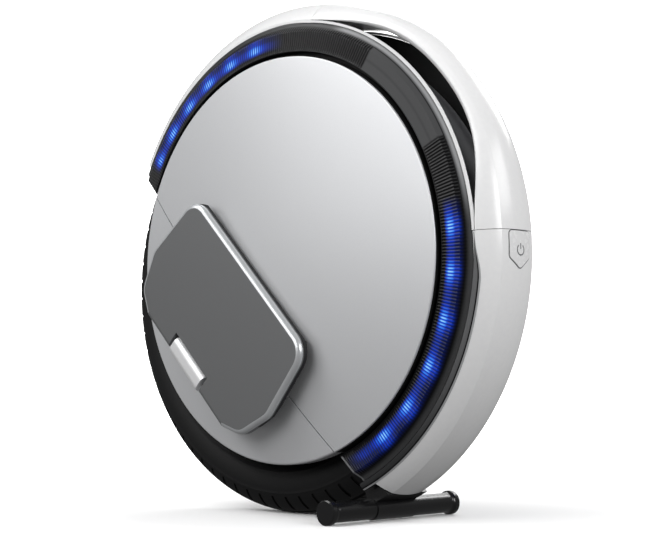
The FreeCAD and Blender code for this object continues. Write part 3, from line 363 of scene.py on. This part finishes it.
def dome(r):
    """Height of a ball cap that is COVER_DOME high in the middle and COVER_RIM at the rim."""
    rise = COVER_DOME - COVER_RIM
    ball = (COVER_RADIUS ** 2 + rise ** 2) / (2 * rise)
    return COVER_DOME - ball + np.sqrt(ball ** 2 - r ** 2)


def cover_row(angle, edge, round_size, skirt):
    """Rows of (radius, y): dome, rounded edge, skirt or plain cut, and the inside of the dome."""
    edge = edge[:, None]
    share = np.append(np.linspace(0, 0.99, 40), [0.998, 1.0])[None, :]
    top = share * (edge - round_size)
    bend = np.linspace(np.pi / 2, 0, 6)[None, 1:]
    low = dome(edge - round_size) - round_size
    arc_r, arc_y = edge - round_size + round_size * np.cos(bend), low + round_size * np.sin(bend)
    under = edge - COVER_WALL if skirt else edge
    foot = np.full_like(edge, PLATE_HALF) if skirt else dome(edge) - COVER_WALL
    back = under * share[:, ::-1]
    r = np.hstack([top, arc_r, edge, under, back])
    y = np.hstack([dome(top), arc_y, foot, foot, dome(back) - COVER_WALL])
    return ring_points(r, angle[:, None], y, BODY_RISE)


seam_distance = SEAM_DROP + BODY_RISE - SEAM_GAP / 2
corner = math.acos(-seam_distance / COVER_RADIUS)
round_angles = np.linspace(-corner, corner, ROUND_ROWS)
seam_angles = np.linspace(corner + CORNER_STEP, 2 * np.pi - corner - CORNER_STEP, SEAM_ROWS)
round_rows = cover_row(round_angles, np.full(ROUND_ROWS, COVER_RADIUS), COVER_EDGE, True)
seam_rows = cover_row(seam_angles, seam_distance / np.abs(np.cos(seam_angles)), SEAM_EDGE, False)
cover_points = parked(np.vstack([round_rows, seam_rows]))
for side in SIDES:
    mirrored = on_side(cover_points, side)
    cover = skin(side + "_upper_dome", mirrored, "chassis", "silver_cover", around=True, poles=True)
    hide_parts(side + "_upper_cover")

# %% [markdown]
# Between cover and light ring is a groove.  A thin black strip stands in it on the frame plate and
# covers the cover's skirt, so the groove looks quite black: painted shade standing in for the shade
# in the groove.  Its section is a thin rectangle, carried round the cover.

# %% Groove shade strip
# black strip: painted shade in the groove between cover and light ring
groove_shade_finish = grained("black painted groove shade", "#040404", "#080808", 0.8, (0.8, 0.9), 0.04, ior=1.3)
groove_strip_radius = np.array([177.1, 177.1, 177.4, 177.7, 177.7])[None, :] * MM
groove_strip_y = np.array([33.1, 42.6, 42.8, 42.6, 33.1])[None, :] * MM
groove_strip_angle = np.linspace(-1, 1, 240)[:, None] * (corner - math.radians(0.5))
groove_strip_points = parked(ring_points(groove_strip_radius, groove_strip_angle, groove_strip_y, BODY_RISE))
for side in SIDES:
    skin(side + "_groove_shade_strip", on_side(groove_strip_points, side), "chassis", "black_frame", groove_shade_finish)

# %% [markdown]
# ## Light rings
# A smoked polycarbonate ring runs round each cover.  Its face has fine radial ribs that spread the
# light of the LEDs behind it, a smooth window at the top and a smooth bevel outside.  The ribs are
# a cosine of the angle, 0.8 degrees apart, cut into the face and the upper part of the bevel.  Towards
# both ends the rows swing round until the last one lies along the seam of the covers.

# %% Light ring shape
LENS_FACE = np.array([[181.0, 41.5], [199.0, 40.0], [205.0, 34.6], [208.0, 34.2]])
RIB_PITCH, RIB_DEPTH = 0.8, 0.45
RIB_INNER, RIB_OUTER = 182.4, 202.4
WINDOW_FRONT, WINDOW_REAR = (-14.0, -13.4), (17.6, 18.2)
LENS_INNER, LENS_BEND = 181.0, 199.0
RING_END, BEND_START = 112.25, 100.0
REAR_LEDS = np.array([39.6, 50.5, 62.0, 74.0, 86.0, 96.5])
FRONT_LEDS = np.array([-55.5, -65.3, -75.0, -84.5, -94.2, -103.5])


def lens_reach(angle):
    """Outer radius in mm: 207 beside the handle, 208 elsewhere, joined by smooth steps."""
    rear, front = smooth_step(angle, 40.0, 50.0), smooth_step(-angle, 36.0, 46.0)
    return 207.0 + 1.0 * np.maximum(rear, front)


ring_angle = np.arange(-112.25, 112.26, 0.13)[:, None]
face_radius = np.array([182.2, 182.6, 185.0, 187.0, 189.0, 191.0, 193.0, 195.0, 197.6, 198.0])[None, :]
reach_share = np.array([0.0, 0.12, 0.24, 0.36, 0.44, 0.66, 0.8, 0.97, 1.0])[None, :]
outside = LENS_BEND + (lens_reach(ring_angle) - LENS_BEND) * reach_share
ones = np.ones_like(ring_angle)
inner_edge = np.array([LENS_INNER, LENS_INNER, LENS_INNER + 0.5])[None, :]
radius = np.hstack([inner_edge * ones, face_radius * ones, outside, outside[:, -1:]])
height = np.interp(radius, LENS_FACE[:, 0], LENS_FACE[:, 1])
in_window = between(ring_angle, *WINDOW_FRONT, *WINDOW_REAR)
ribbed = (1 - in_window) * (radius > RIB_INNER) * (radius < RIB_OUTER)
height -= ribbed * RIB_DEPTH * (0.5 - 0.5 * np.cos(2 * np.pi * ring_angle / RIB_PITCH))
height[:, 0] = height[:, -1] = PLATE_HALF / MM
height[:, 1] -= 0.5
height[:, -2] -= 0.2
face_columns = radius.shape[1] - 1
hollow = np.array([[201.4, 33.05], [201.4, 34.85], [197.2, 38.2], [182.8, 39.7], [182.8, 33.05]])
radius = np.hstack([radius, hollow[None, :, 0] * ones])
height = np.hstack([height, hollow[None, :, 1] * ones])
at_seam = np.degrees(np.arccos(-seam_distance / (radius * MM)))
past = np.clip((np.abs(ring_angle) - BEND_START) / (RING_END - BEND_START), 0, 1)
angle = np.sign(ring_angle) * (np.minimum(np.abs(ring_angle), BEND_START) + past * (at_seam - BEND_START))
lens_points = swept(radius, angle, height)
print("light ring grid:", lens_points.shape)

# %% [markdown]
# The LEDs are lit, so each vertex stores how bright it is.  Right above the LEDs the ring shows a
# bright band with pale spots on the LED angles, and outside it a dimmer one, which nearly goes out
# between the spots.  The ribs cut both into bars.

# %% Light ring glow
SPOT_LENGTH = 9.0
along = np.radians(angle[:, :, None] - np.concatenate([REAR_LEDS, FRONT_LEDS])) * radius[:, :, None]
spots = np.exp(-(along / SPOT_LENGTH) ** 2).sum(-1)
lit = between(angle, 32.0, 36.0, 104.0, 111.0) + between(-angle, 44.0, 52.0, 103.0, 107.0)
bright_band = between(radius, 185.0, 188.5, 192.0, 196.0)
dim_band = between(radius, 192.0, 196.0, 198.5, 202.0)
crest = 0.5 + 0.5 * np.cos(2 * np.pi * angle / RIB_PITCH)
on_face = np.arange(radius.shape[1]) < face_columns
bars = (0.35 + 0.65 * crest) * lit * on_face
glow = bright_band * (0.3 + 0.7 * spots) + dim_band * (0.1 + 0.3 * spots)
glow = np.clip(glow, 0, 1) * bars
print("brightest glow:", round(float(glow.max()), 2))

# %% [markdown]
# The ring's colour is not even.  Over the ribs it is black, with a fine grey line painted on each
# crest: a painted highlight.  The smooth window shows a dark grey inside.  The thin bevel has a faint
# painted sheen, and beside the handle a painted highlight makes it pale and nearly clear.  The sawn
# rear end shows as a pale strip.  A second stored number, the tone, says how pale each place is.

# %% Light ring tone
WINDOW_TONE, STEP_TONE, CREST_HIGHLIGHT_TONE, END_TONE = 0.105, 0.065, 0.06, 0.22
BEVEL_SHEEN_TONE, BEVEL_HIGHLIGHT_TONE = 0.07, 0.38
step_line = np.exp(-((radius - 190.5) / 0.5) ** 2)
window = (WINDOW_TONE - STEP_TONE * step_line) * in_window * (radius > 182.0) * (radius < 202.5)
# painted highlight: a fine pale line on each rib crest, away from the lit LEDs
crest_highlights = CREST_HIGHLIGHT_TONE * crest ** 5 * (1 - lit) * (radius > RIB_INNER) * (radius < RIB_OUTER)
# painted sheen over the whole bevel, and a stronger painted highlight on it beside the handle
beside_handle = between(angle, -30.0, -24.0, 24.0, 40.0)
clear = BEVEL_HIGHLIGHT_TONE * beside_handle * (1 - 0.6 * smooth_step(radius, 205.5, 207.0))
bevel = smooth_step(radius, RIB_OUTER, 204.5) * (BEVEL_SHEEN_TONE + clear)
end_strip = END_TONE * smooth_step(ring_angle, 111.3, 111.7) * (radius > RIB_INNER)
tone = np.maximum.reduce([window, crest_highlights, bevel, end_strip]) * on_face
print("palest tone:", round(float(tone.max()), 2))

# %% [markdown]
# The lens material is smoked polycarbonate: near black, with a soft gloss, IOR 1.58.  Its emission
# reads the stored brightness through a ramp from black over deep blue to a pale blue, as a blue LED
# looks through dark plastic.

# %% Light ring material
LIT_COLOURS = ((0.0, "#000000"), (0.1, "#04124A"), (0.4, "#0A37C0"), (0.7, "#3288F4"), (1.0, "#A6E4FF"))


def store(piece, name, values):
    """Keep one number for each point of a piece, for its material to read."""
    piece.data.attributes.new(name, "FLOAT", "POINT").data.foreach_set("value", np.ravel(values))


lens_finish, tree, shader = plain("ribbed smoked polycarbonate", roughness=0.3, ior=1.58,
                                  specular_ior_level=0.12)
smoke = add(tree, "ShaderNodeAttribute", {}, attribute_name="tone")
shades = {0: smoke.outputs["Fac"], 6: linear("#040405"), 7: linear("#C4C5C7")}
smoked = add(tree, "ShaderNodeMix", shades, data_type="RGBA")
tree.links.new(smoked.outputs[2], shader.inputs["Base Color"])
stored = add(tree, "ShaderNodeAttribute", {}, attribute_name="glow")
ramp = add(tree, "ShaderNodeValToRGB", {"Fac": stored.outputs["Fac"]})
for position, _ in LIT_COLOURS[1:-1]:
    ramp.color_ramp.elements.new(position)
for element, (position, colour) in zip(ramp.color_ramp.elements, LIT_COLOURS):
    element.position, element.color = position, linear(colour)
tree.links.new(ramp.outputs["Color"], shader.inputs["Emission Color"])
shader.inputs["Emission Strength"].default_value = 1.0
for side in SIDES:
    lens = skin(side + "_light_ring", on_side(lens_points, side), "chassis", "smoke_lens", lens_finish)
    store(lens, "glow", glow)
    store(lens, "tone", tone)
    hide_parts(side + "_light_cover")

# %% [markdown]
# Behind the handle the ring's edge widens into a lip that laps over the shoulder of the rear shell.
# Its section follows the shell's shoulder, an arc through three of its points, and its width grows
# from nothing at the handle's joint.  It is painted paler near the handle and darker towards the
# bottom: painted sheen and painted shade.  A dark line along it is painted shade of a groove that the
# shape does not have, and its pale edge is a painted highlight.

# %% Rear lips
LIP_START, LIP_END, LIP_INNER, LIP_THICK = 41.4, 110.6, 208.35, 0.4
LIP_SHEEN_TONE, LIP_SHADE_FADE, EDGE_HIGHLIGHT_TONE = 0.22, 0.16, 0.6
shoulder = np.vstack([[208.3, 33.6], arc_through((210.5, 33.6), (218.5, 27.5), (225.3, 19.5), 20)])
lip_angle = np.linspace(LIP_START, LIP_END, 180)[:, None]
lip_width = 0.5 + 5.4 * smooth_step(lip_angle, LIP_START, 52.0)
across = np.array([0.0, 0.0, 0.3, 0.6, 0.66, 0.68, 0.82, 0.84, 1.0, 1.0])[None, :]
lip_radius = LIP_INNER + lip_width * across
lift = np.array([0.02, 1.0, 1.0, 1.0, 1.0, 1.0, 1.0, 1.0, 1.0, 0.02])[None, :] * LIP_THICK
lip_height = np.interp(lip_radius, shoulder[:, 0], shoulder[:, 1]) + lift
lip_points = swept(lip_radius, lip_angle, lip_height)
# painted sheen fading to painted shade lower down, a dark painted groove line, a painted edge highlight
lip_painted_light = (across < 0.67) * (LIP_SHEEN_TONE - LIP_SHADE_FADE * smooth_step(lip_angle, 55.0, 100.0))
lip_painted_light = lip_painted_light + (across > 0.83) * EDGE_HIGHLIGHT_TONE
for side in SIDES:
    lip = skin(side + "_rear_lip", on_side(lip_points, side), "chassis", "smoke_lens", lens_finish)
    store(lip, "tone", lip_painted_light)
    store(lip, "glow", np.zeros(lip_painted_light.shape))

# %% [markdown]
# ## Pedal pads
# Each foot rests on a rubber pad that lines the pedal, with ridges across it for grip.  A row is a
# closed loop at one height: across the ridged face and back along the flat side.  Its half width
# follows the pedal's outline, whose corners are rounded by arcs.

# %% Pedal pads
PAD_FACE, PAD_BACK, PAD_TOP = 61.8, 65.5, 11.5
PAD_CORNER, CORNER_RISE = 20.0, 18.0
HIP_HEIGHT, HIP_BLUNT, HIP_SPREAD = -60.0, 1.05, 8.0
RIDGE_PITCH, RIDGE_HEIGHT = 6.0, 1.1


def pad_half_width(z):
    """Half width in mm: sloped sides, with arcs of 20 mm at the top corners and blunt hips below."""
    side = np.interp(z, [-96.0, HIP_HEIGHT, PAD_TOP], [93.0, 106.0, 98.0])
    into_corner = np.clip(z - (PAD_TOP - CORNER_RISE), 0, CORNER_RISE)
    side = side - PAD_CORNER * (1 - np.sqrt(np.clip(1 - (into_corner / PAD_CORNER) ** 2, 0, 1)))
    return side - HIP_BLUNT * np.exp(-((z - HIP_HEIGHT) / HIP_SPREAD) ** 2)


pad_z = np.concatenate([np.arange(-78.0, 11.0, 0.5), [11.0, 11.3, 11.5]])[:, None]
across = np.concatenate([[-1.0, -0.99], np.linspace(-0.97, 0.97, 7), [0.99, 1.0]])[None, :]
ridge = 0.5 - 0.5 * np.cos(2 * np.pi * pad_z / RIDGE_PITCH)
inside = (np.abs(across) < 0.98) * between(pad_z, -77.0, -75.0, 7.0, 10.0)
face_y = PAD_FACE + RIDGE_HEIGHT * ridge * inside
width = pad_half_width(pad_z)
pad_x = np.hstack([across * width, across[:, ::-1] * width])
pad_y = np.hstack([face_y, np.full_like(face_y, PAD_BACK)])
pad_points = parked(np.stack([pad_x, pad_y, np.broadcast_to(pad_z, pad_x.shape)], -1) * MM)
for side in SIDES:
    pad = skin(side + "_foot_pad", on_side(pad_points, side), side + "_pedal", "pedal_rubber")
    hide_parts(side + "_pedal_pad")

# %% [markdown]
# ## Pedal edge
# The pedal's plate is blasted and anodised grey, and its round edge gets a painted highlight: a thin
# pale band over the rounding.  Its path is the plate's outline, with arcs in the corners, and its
# section is a quarter circle.

# %% Pedal edge


def rounded_path(corners, radius, count, steps=9):
    """Even points and normals: at each inner corner, start + radius (sin a * into + (1 - cos a) * side)."""
    corners = np.asarray(corners, float)
    runs = np.diff(corners, axis=0)
    runs /= np.linalg.norm(runs, axis=1)[:, None]
    into, out = runs[:-1, None], runs[1:, None]
    turn = np.arccos((into * out).sum(-1, keepdims=True))
    side = (out - into * np.cos(turn)) / np.sin(turn)
    bend = turn * np.linspace(0, 1, steps)[None, :, None]
    start = corners[1:-1, None] - into * radius * np.tan(turn / 2)
    arcs = start + radius * (np.sin(bend) * into + (1 - np.cos(bend)) * side)
    headings = np.cos(bend) * into + np.sin(bend) * side
    path = np.vstack([corners[:1], arcs.reshape(-1, 2), corners[-1:]])
    headings = np.vstack([runs[:1], headings.reshape(-1, 2), runs[-1:]])
    along = np.append(0, np.cumsum(np.linalg.norm(np.diff(path, axis=0), axis=1)))
    even = np.linspace(0, along[-1], count)
    both = [np.interp(even, along, column) for column in np.hstack([path, headings]).T]
    return np.stack(both[:2], -1), np.stack([-both[3], both[2]], -1)


# pale colour on the pedal's round edge: painted highlight
edge_highlight_paint = grained("painted-highlight aluminium", "#C2C4C6", "#CDCFD1", 0.7, (0.26, 0.32), 0.006, metallic=0.5)
EDGE_ROUND, EDGE_LOW, PLATE_CORNER = 4.5, 67.0, 20.0
BAND_TOP, BAND_FOOT = 0.1, 0.01
half_outline = [(71.2, -107.4), (93.0, -96.0), (106.0, -60.0), (98.0, 11.5)]
whole_outline = [(-x, z) for x, z in half_outline] + half_outline[::-1]
outline, outward = rounded_path(whole_outline, PLATE_CORNER, 260)
bend = np.radians(np.concatenate([np.linspace(8, 88, 9), np.linspace(88, 8, 9)]))[None, :]
band_radius = EDGE_ROUND + np.repeat([BAND_TOP, BAND_FOOT], 9)[None, :]
inset = EDGE_ROUND - band_radius * np.sin(bend)
edge_xz = outline[:, None, :] - outward[:, None, :] * inset[..., None]
edge_y = np.broadcast_to(EDGE_LOW + band_radius * np.cos(bend), edge_xz.shape[:2])
edge_points = parked(np.stack([edge_xz[..., 0], edge_y, edge_xz[..., 1]], -1) * MM)
for side in SIDES:
    skin(side + "_pedal_edge", on_side(edge_points, side), side + "_pedal", "pedal_alloy", edge_highlight_paint)

# %% [markdown]
# ## Shade sheet in the hand well
# Below the handle, fingers reach into a well between the two side frames.  Its floor is the mudguard.
# A thin grey sheet lies just above it there, put in for the grey shade seen in the well: painted
# shade.  It is a curved sheet: an arc about the axle, just above the guard, and a straight line across.

# %% Hand well shade sheet
GUARD_RADIUS, SHEET_THICK = 210.5, 0.6
sheet_angle = np.linspace(-28.0, 33.0, 90)[:, None]
sheet_y = np.array([-29.0, -29.0, -28.6, 28.6, 29.0, 29.0])[None, :]
sheet_radius = GUARD_RADIUS + np.array([0.02, 0.5, 1.0, 1.0, 0.5, 0.02])[None, :] * SHEET_THICK
sheet_points = swept(sheet_radius, sheet_angle, sheet_y, 0.0)
# grey sheet in the well: painted shade
well_shade_finish = grained("grey sheet for painted shade", "#606164", "#6B6C6F", 0.9, (0.6, 0.7), 0.03)
skin("hand_well_shade_sheet", sheet_points, "chassis", "black_frame", well_shade_finish)

# %% [markdown]
# ## Handle pad
# Soft rubber under the grip, where the fingers press.  Rounded ribs run across it.

# %% Handle pad
GRIP_LOW, GRIP_HIGH, GRIP_HALF = 216.3, 219.45, 10.0
GRIP_START, GRIP_RIB_PITCH, GRIP_RIB_HEIGHT = -18.0, 2.0, 0.9
grip_angle = np.arange(GRIP_START, 22.01, 0.25)[:, None]
rib = 0.5 - 0.5 * np.cos(2 * np.pi * (grip_angle - GRIP_START) / GRIP_RIB_PITCH)
edge = np.array([0.8, 0.3, 0.0, 0.0, 0.0, 0.3, 0.8])[None, :]
ribbed_face = GRIP_LOW + np.maximum(edge, GRIP_RIB_HEIGHT * rib)
grip_radius = np.hstack([ribbed_face, np.full((len(grip_angle), 2), GRIP_HIGH)])
grip_y = np.array([-1.0, -0.96, -0.9, 0.0, 0.9, 0.96, 1.0, 1.0, -1.0])[None, :] * GRIP_HALF
grip_pad = skin("ribbed_grip_pad", swept(grip_radius, grip_angle, grip_y), "chassis", "grip_rubber")
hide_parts("handle_pad")

# %% [markdown]
# ## Power symbol
# The usual ring with a bar is printed on the button in grey ink.  It is a thin strip laid on the
# button's curved face: the strip's middle line is an arc or a short line, and its height follows
# the crown of the shell.

# %% Power symbol
BUTTON_ANGLE = 41.0 + math.degrees(16.2 / 228.0)
INK, STROKE_HALF = 0.06, 0.55
SYMBOL_RADIUS, SYMBOL_GAP = 4.2, math.radians(36)
FACE_RADIUS, ACROSS_RADIUS = 228.5, 71.8


def button_height(x, y):
    """Radius from the body centre in mm of the button's face: crown arc across, circle along it."""
    crown = np.sqrt(ACROSS_RADIUS ** 2 - y ** 2) - x ** 2 / (2 * FACE_RADIUS)
    return FACE_RADIUS - ACROSS_RADIUS + crown


def ink_strip(name, middle, normal, half_width, finish, body="power_button", lower=0.0):
    """Strip along a middle line on the button, (along, y) in mm, raised by the thickness of the ink."""
    sides = np.array([-1.0, 1.0, 1.0, -1.0])[None, :, None]
    raised = np.array([0.0, 0.0, 1.0, 1.0])[None, :] * INK
    flat = middle[:, None, :] + normal[:, None, :] * sides * half_width
    up = button_height(flat[..., 0], flat[..., 1]) + raised - lower
    turn = math.radians(BUTTON_ANGLE)
    x = flat[..., 0] * math.cos(turn) + up * math.sin(turn)
    z = up * math.cos(turn) - flat[..., 0] * math.sin(turn) + BODY_RISE / MM
    return skin(name, parked(np.stack([x, flat[..., 1], z], -1) * MM), body, "switch_black", finish)


ink = grained("grey pad-printed ink", "#6A6B6D", "#747577", 0.8, (0.4, 0.5), 0.004)
sweep = np.linspace(SYMBOL_GAP, 2 * np.pi - SYMBOL_GAP, 48)
outward = np.stack([-np.cos(sweep), np.sin(sweep)], -1)
ink_strip("power_ring", outward * SYMBOL_RADIUS, outward, STROKE_HALF, ink)
bar = np.stack([np.linspace(-5.2, -0.6, 8), np.zeros(8)], -1)
ink_strip("power_bar", bar, np.tile([0.0, 1.0], (8, 1)), STROKE_HALF, ink)

# %% [markdown]
# A grey line round the button in the shell draws its outline: painted shade of the gap round the
# button.  The same strip does it, along the outline of the button, a little lower because the button
# stands proud of the shell.

# %% Button gap shade
BUTTON_PROUD, GAP_SHADE_LIFT, GAP_SHADE_OFFSET, GAP_SHADE_HALF = 0.5, 0.01, 0.45, 0.4
# grey strip round the button: painted shade of the gap
gap_shade_ink = grained("grey painted gap shade", "#4C4D4F", "#56575A", 0.8, (0.6, 0.7), 0.01)
half_button = [(-15.0, 0.0), (-15.0, 12.5), (6.0, 12.5), (15.0, 0.0)]
shield = half_button + [(along, -y) for along, y in half_button[-2::-1]]
outline, outward = rounded_path(shield, 3.0, 120)
gap_shade_line = outline + outward * GAP_SHADE_OFFSET
ink_strip("button_gap_shade", gap_shade_line, outward, GAP_SHADE_HALF, gap_shade_ink, "chassis", BUTTON_PROUD - GAP_SHADE_LIFT)

# %% [markdown]
# ## Studio
# A white sweep: the floor turns up into a wall all round, so no horizon shows from any side.  Away
# from the machine it glows, so it is white from every side, and only the floor close by takes shadows.
# Soft boxes stand in front, to the left, to the right and, high up, on the far side.  In the picture
# the lower half of the machine falls off into shade, so the floor throws no light back at it: it is
# hidden from diffuse and glossy rays.  The Standard view keeps the white floor white.

# %% Studio


def sweep_floor(floor_radius=4.0, bend=2.0, height=3.0):
    """Flat disc, quarter-circle bend and upright wall, turned about Z."""
    turn = np.linspace(0, 2 * np.pi, 96, endpoint=False)[:, None]
    arc = np.linspace(0, np.pi / 2, 16)
    radius = np.concatenate([[0.01, 1.0, 2.0, 3.0], floor_radius + bend * np.sin(arc), [floor_radius + bend]])
    level = np.concatenate([np.zeros(4), bend * (1 - np.cos(arc)), [bend + height]])
    x, y, z = np.broadcast_arrays(radius * np.cos(turn), radius * np.sin(turn), level)
    return np.stack([x, y, z], -1)


points = sweep_floor()
index = np.arange(points.shape[0] * points.shape[1]).reshape(points.shape[:2])
index = np.vstack([index, index[:1]])
quads = np.stack([index[:-1, :-1], index[:-1, 1:], index[1:, 1:], index[1:, :-1]], -1).reshape(-1, 4)
mesh = bpy.data.meshes.new("floor")
mesh.from_pydata(points.reshape(-1, 3).tolist(), [], quads.tolist() + [index[:-1, 0].tolist()])
mesh.shade_smooth()
floor = bpy.data.objects.new("floor", mesh)
floor_paint, tree, shader = plain("white studio paint", base_color=linear("#FAFAFA"), roughness=0.9)
place = add(tree, "ShaderNodeTexCoord", {})
away = add(tree, "ShaderNodeVectorMath", {0: place.outputs["Object"]}, operation="LENGTH")
glow_range = {"Value": away.outputs["Value"], "From Min": 0.15, "From Max": 1.2}
wash = add(tree, "ShaderNodeMapRange", glow_range)
shader.inputs["Emission Color"].default_value = (1, 1, 1, 1)
tree.links.new(wash.outputs["Result"], shader.inputs["Emission Strength"])
floor.data.materials.append(floor_paint)
bpy.context.scene.collection.objects.link(floor)
floor.visible_diffuse = floor.visible_glossy = False


def softbox(name, spot, aim, size, power):
    """Square area light at a spot, turned to face a point."""
    lamp = bpy.data.lights.new(name, "AREA")
    lamp.shape, lamp.size, lamp.energy = "SQUARE", size, power
    light = bpy.data.objects.new(name, lamp)
    light.location = spot
    x, y, z = np.subtract(spot, aim)
    light.rotation_euler = (math.atan2(math.hypot(x, y), z), 0, math.atan2(x, -y))
    bpy.context.scene.collection.objects.link(light)


softbox("front", (0.1, -2.2, 1.2), (0.0, 0.0, 0.3), 1.2, 19)
softbox("front left", (-0.9, -1.9, 1.1), (0.0, 0.0, 0.3), 1.4, 8.5)
softbox("left", (-0.9, -1.0, 1.9), (0.0, 0.0, 0.35), 1.3, 28)
softbox("right", (2.0, -0.4, 0.9), (0.0, 0.0, 0.3), 0.8, 21)
softbox("right back", (1.8, 0.9, 1.2), (0.0, 0.0, 0.3), 0.8, 10)
softbox("backdrop", (-2.0, 2.2, 3.0), (-3.5, 3.7, 0.6), 2.5, 125)
softbox("far side", (0.1, 2.4, 1.9), (0.0, 0.0, 0.2), 1.0, 22)
softbox("far front", (-1.4, 1.9, 0.8), (0.0, 0.0, 0.3), 1.4, 8)
softbox("far floor", (-1.8, 2.6, 2.4), (-2.4, 3.0, 0.0), 2.0, 60)
world = bpy.data.worlds.new("studio air")
world.use_nodes = True
world.node_tree.nodes["Background"].inputs["Color"].default_value = (1, 1, 1, 1)
world.node_tree.nodes["Background"].inputs["Strength"].default_value = 0.18
bpy.context.scene.world = world
bpy.context.scene.view_settings.view_transform = "Standard"
print("studio lights set")
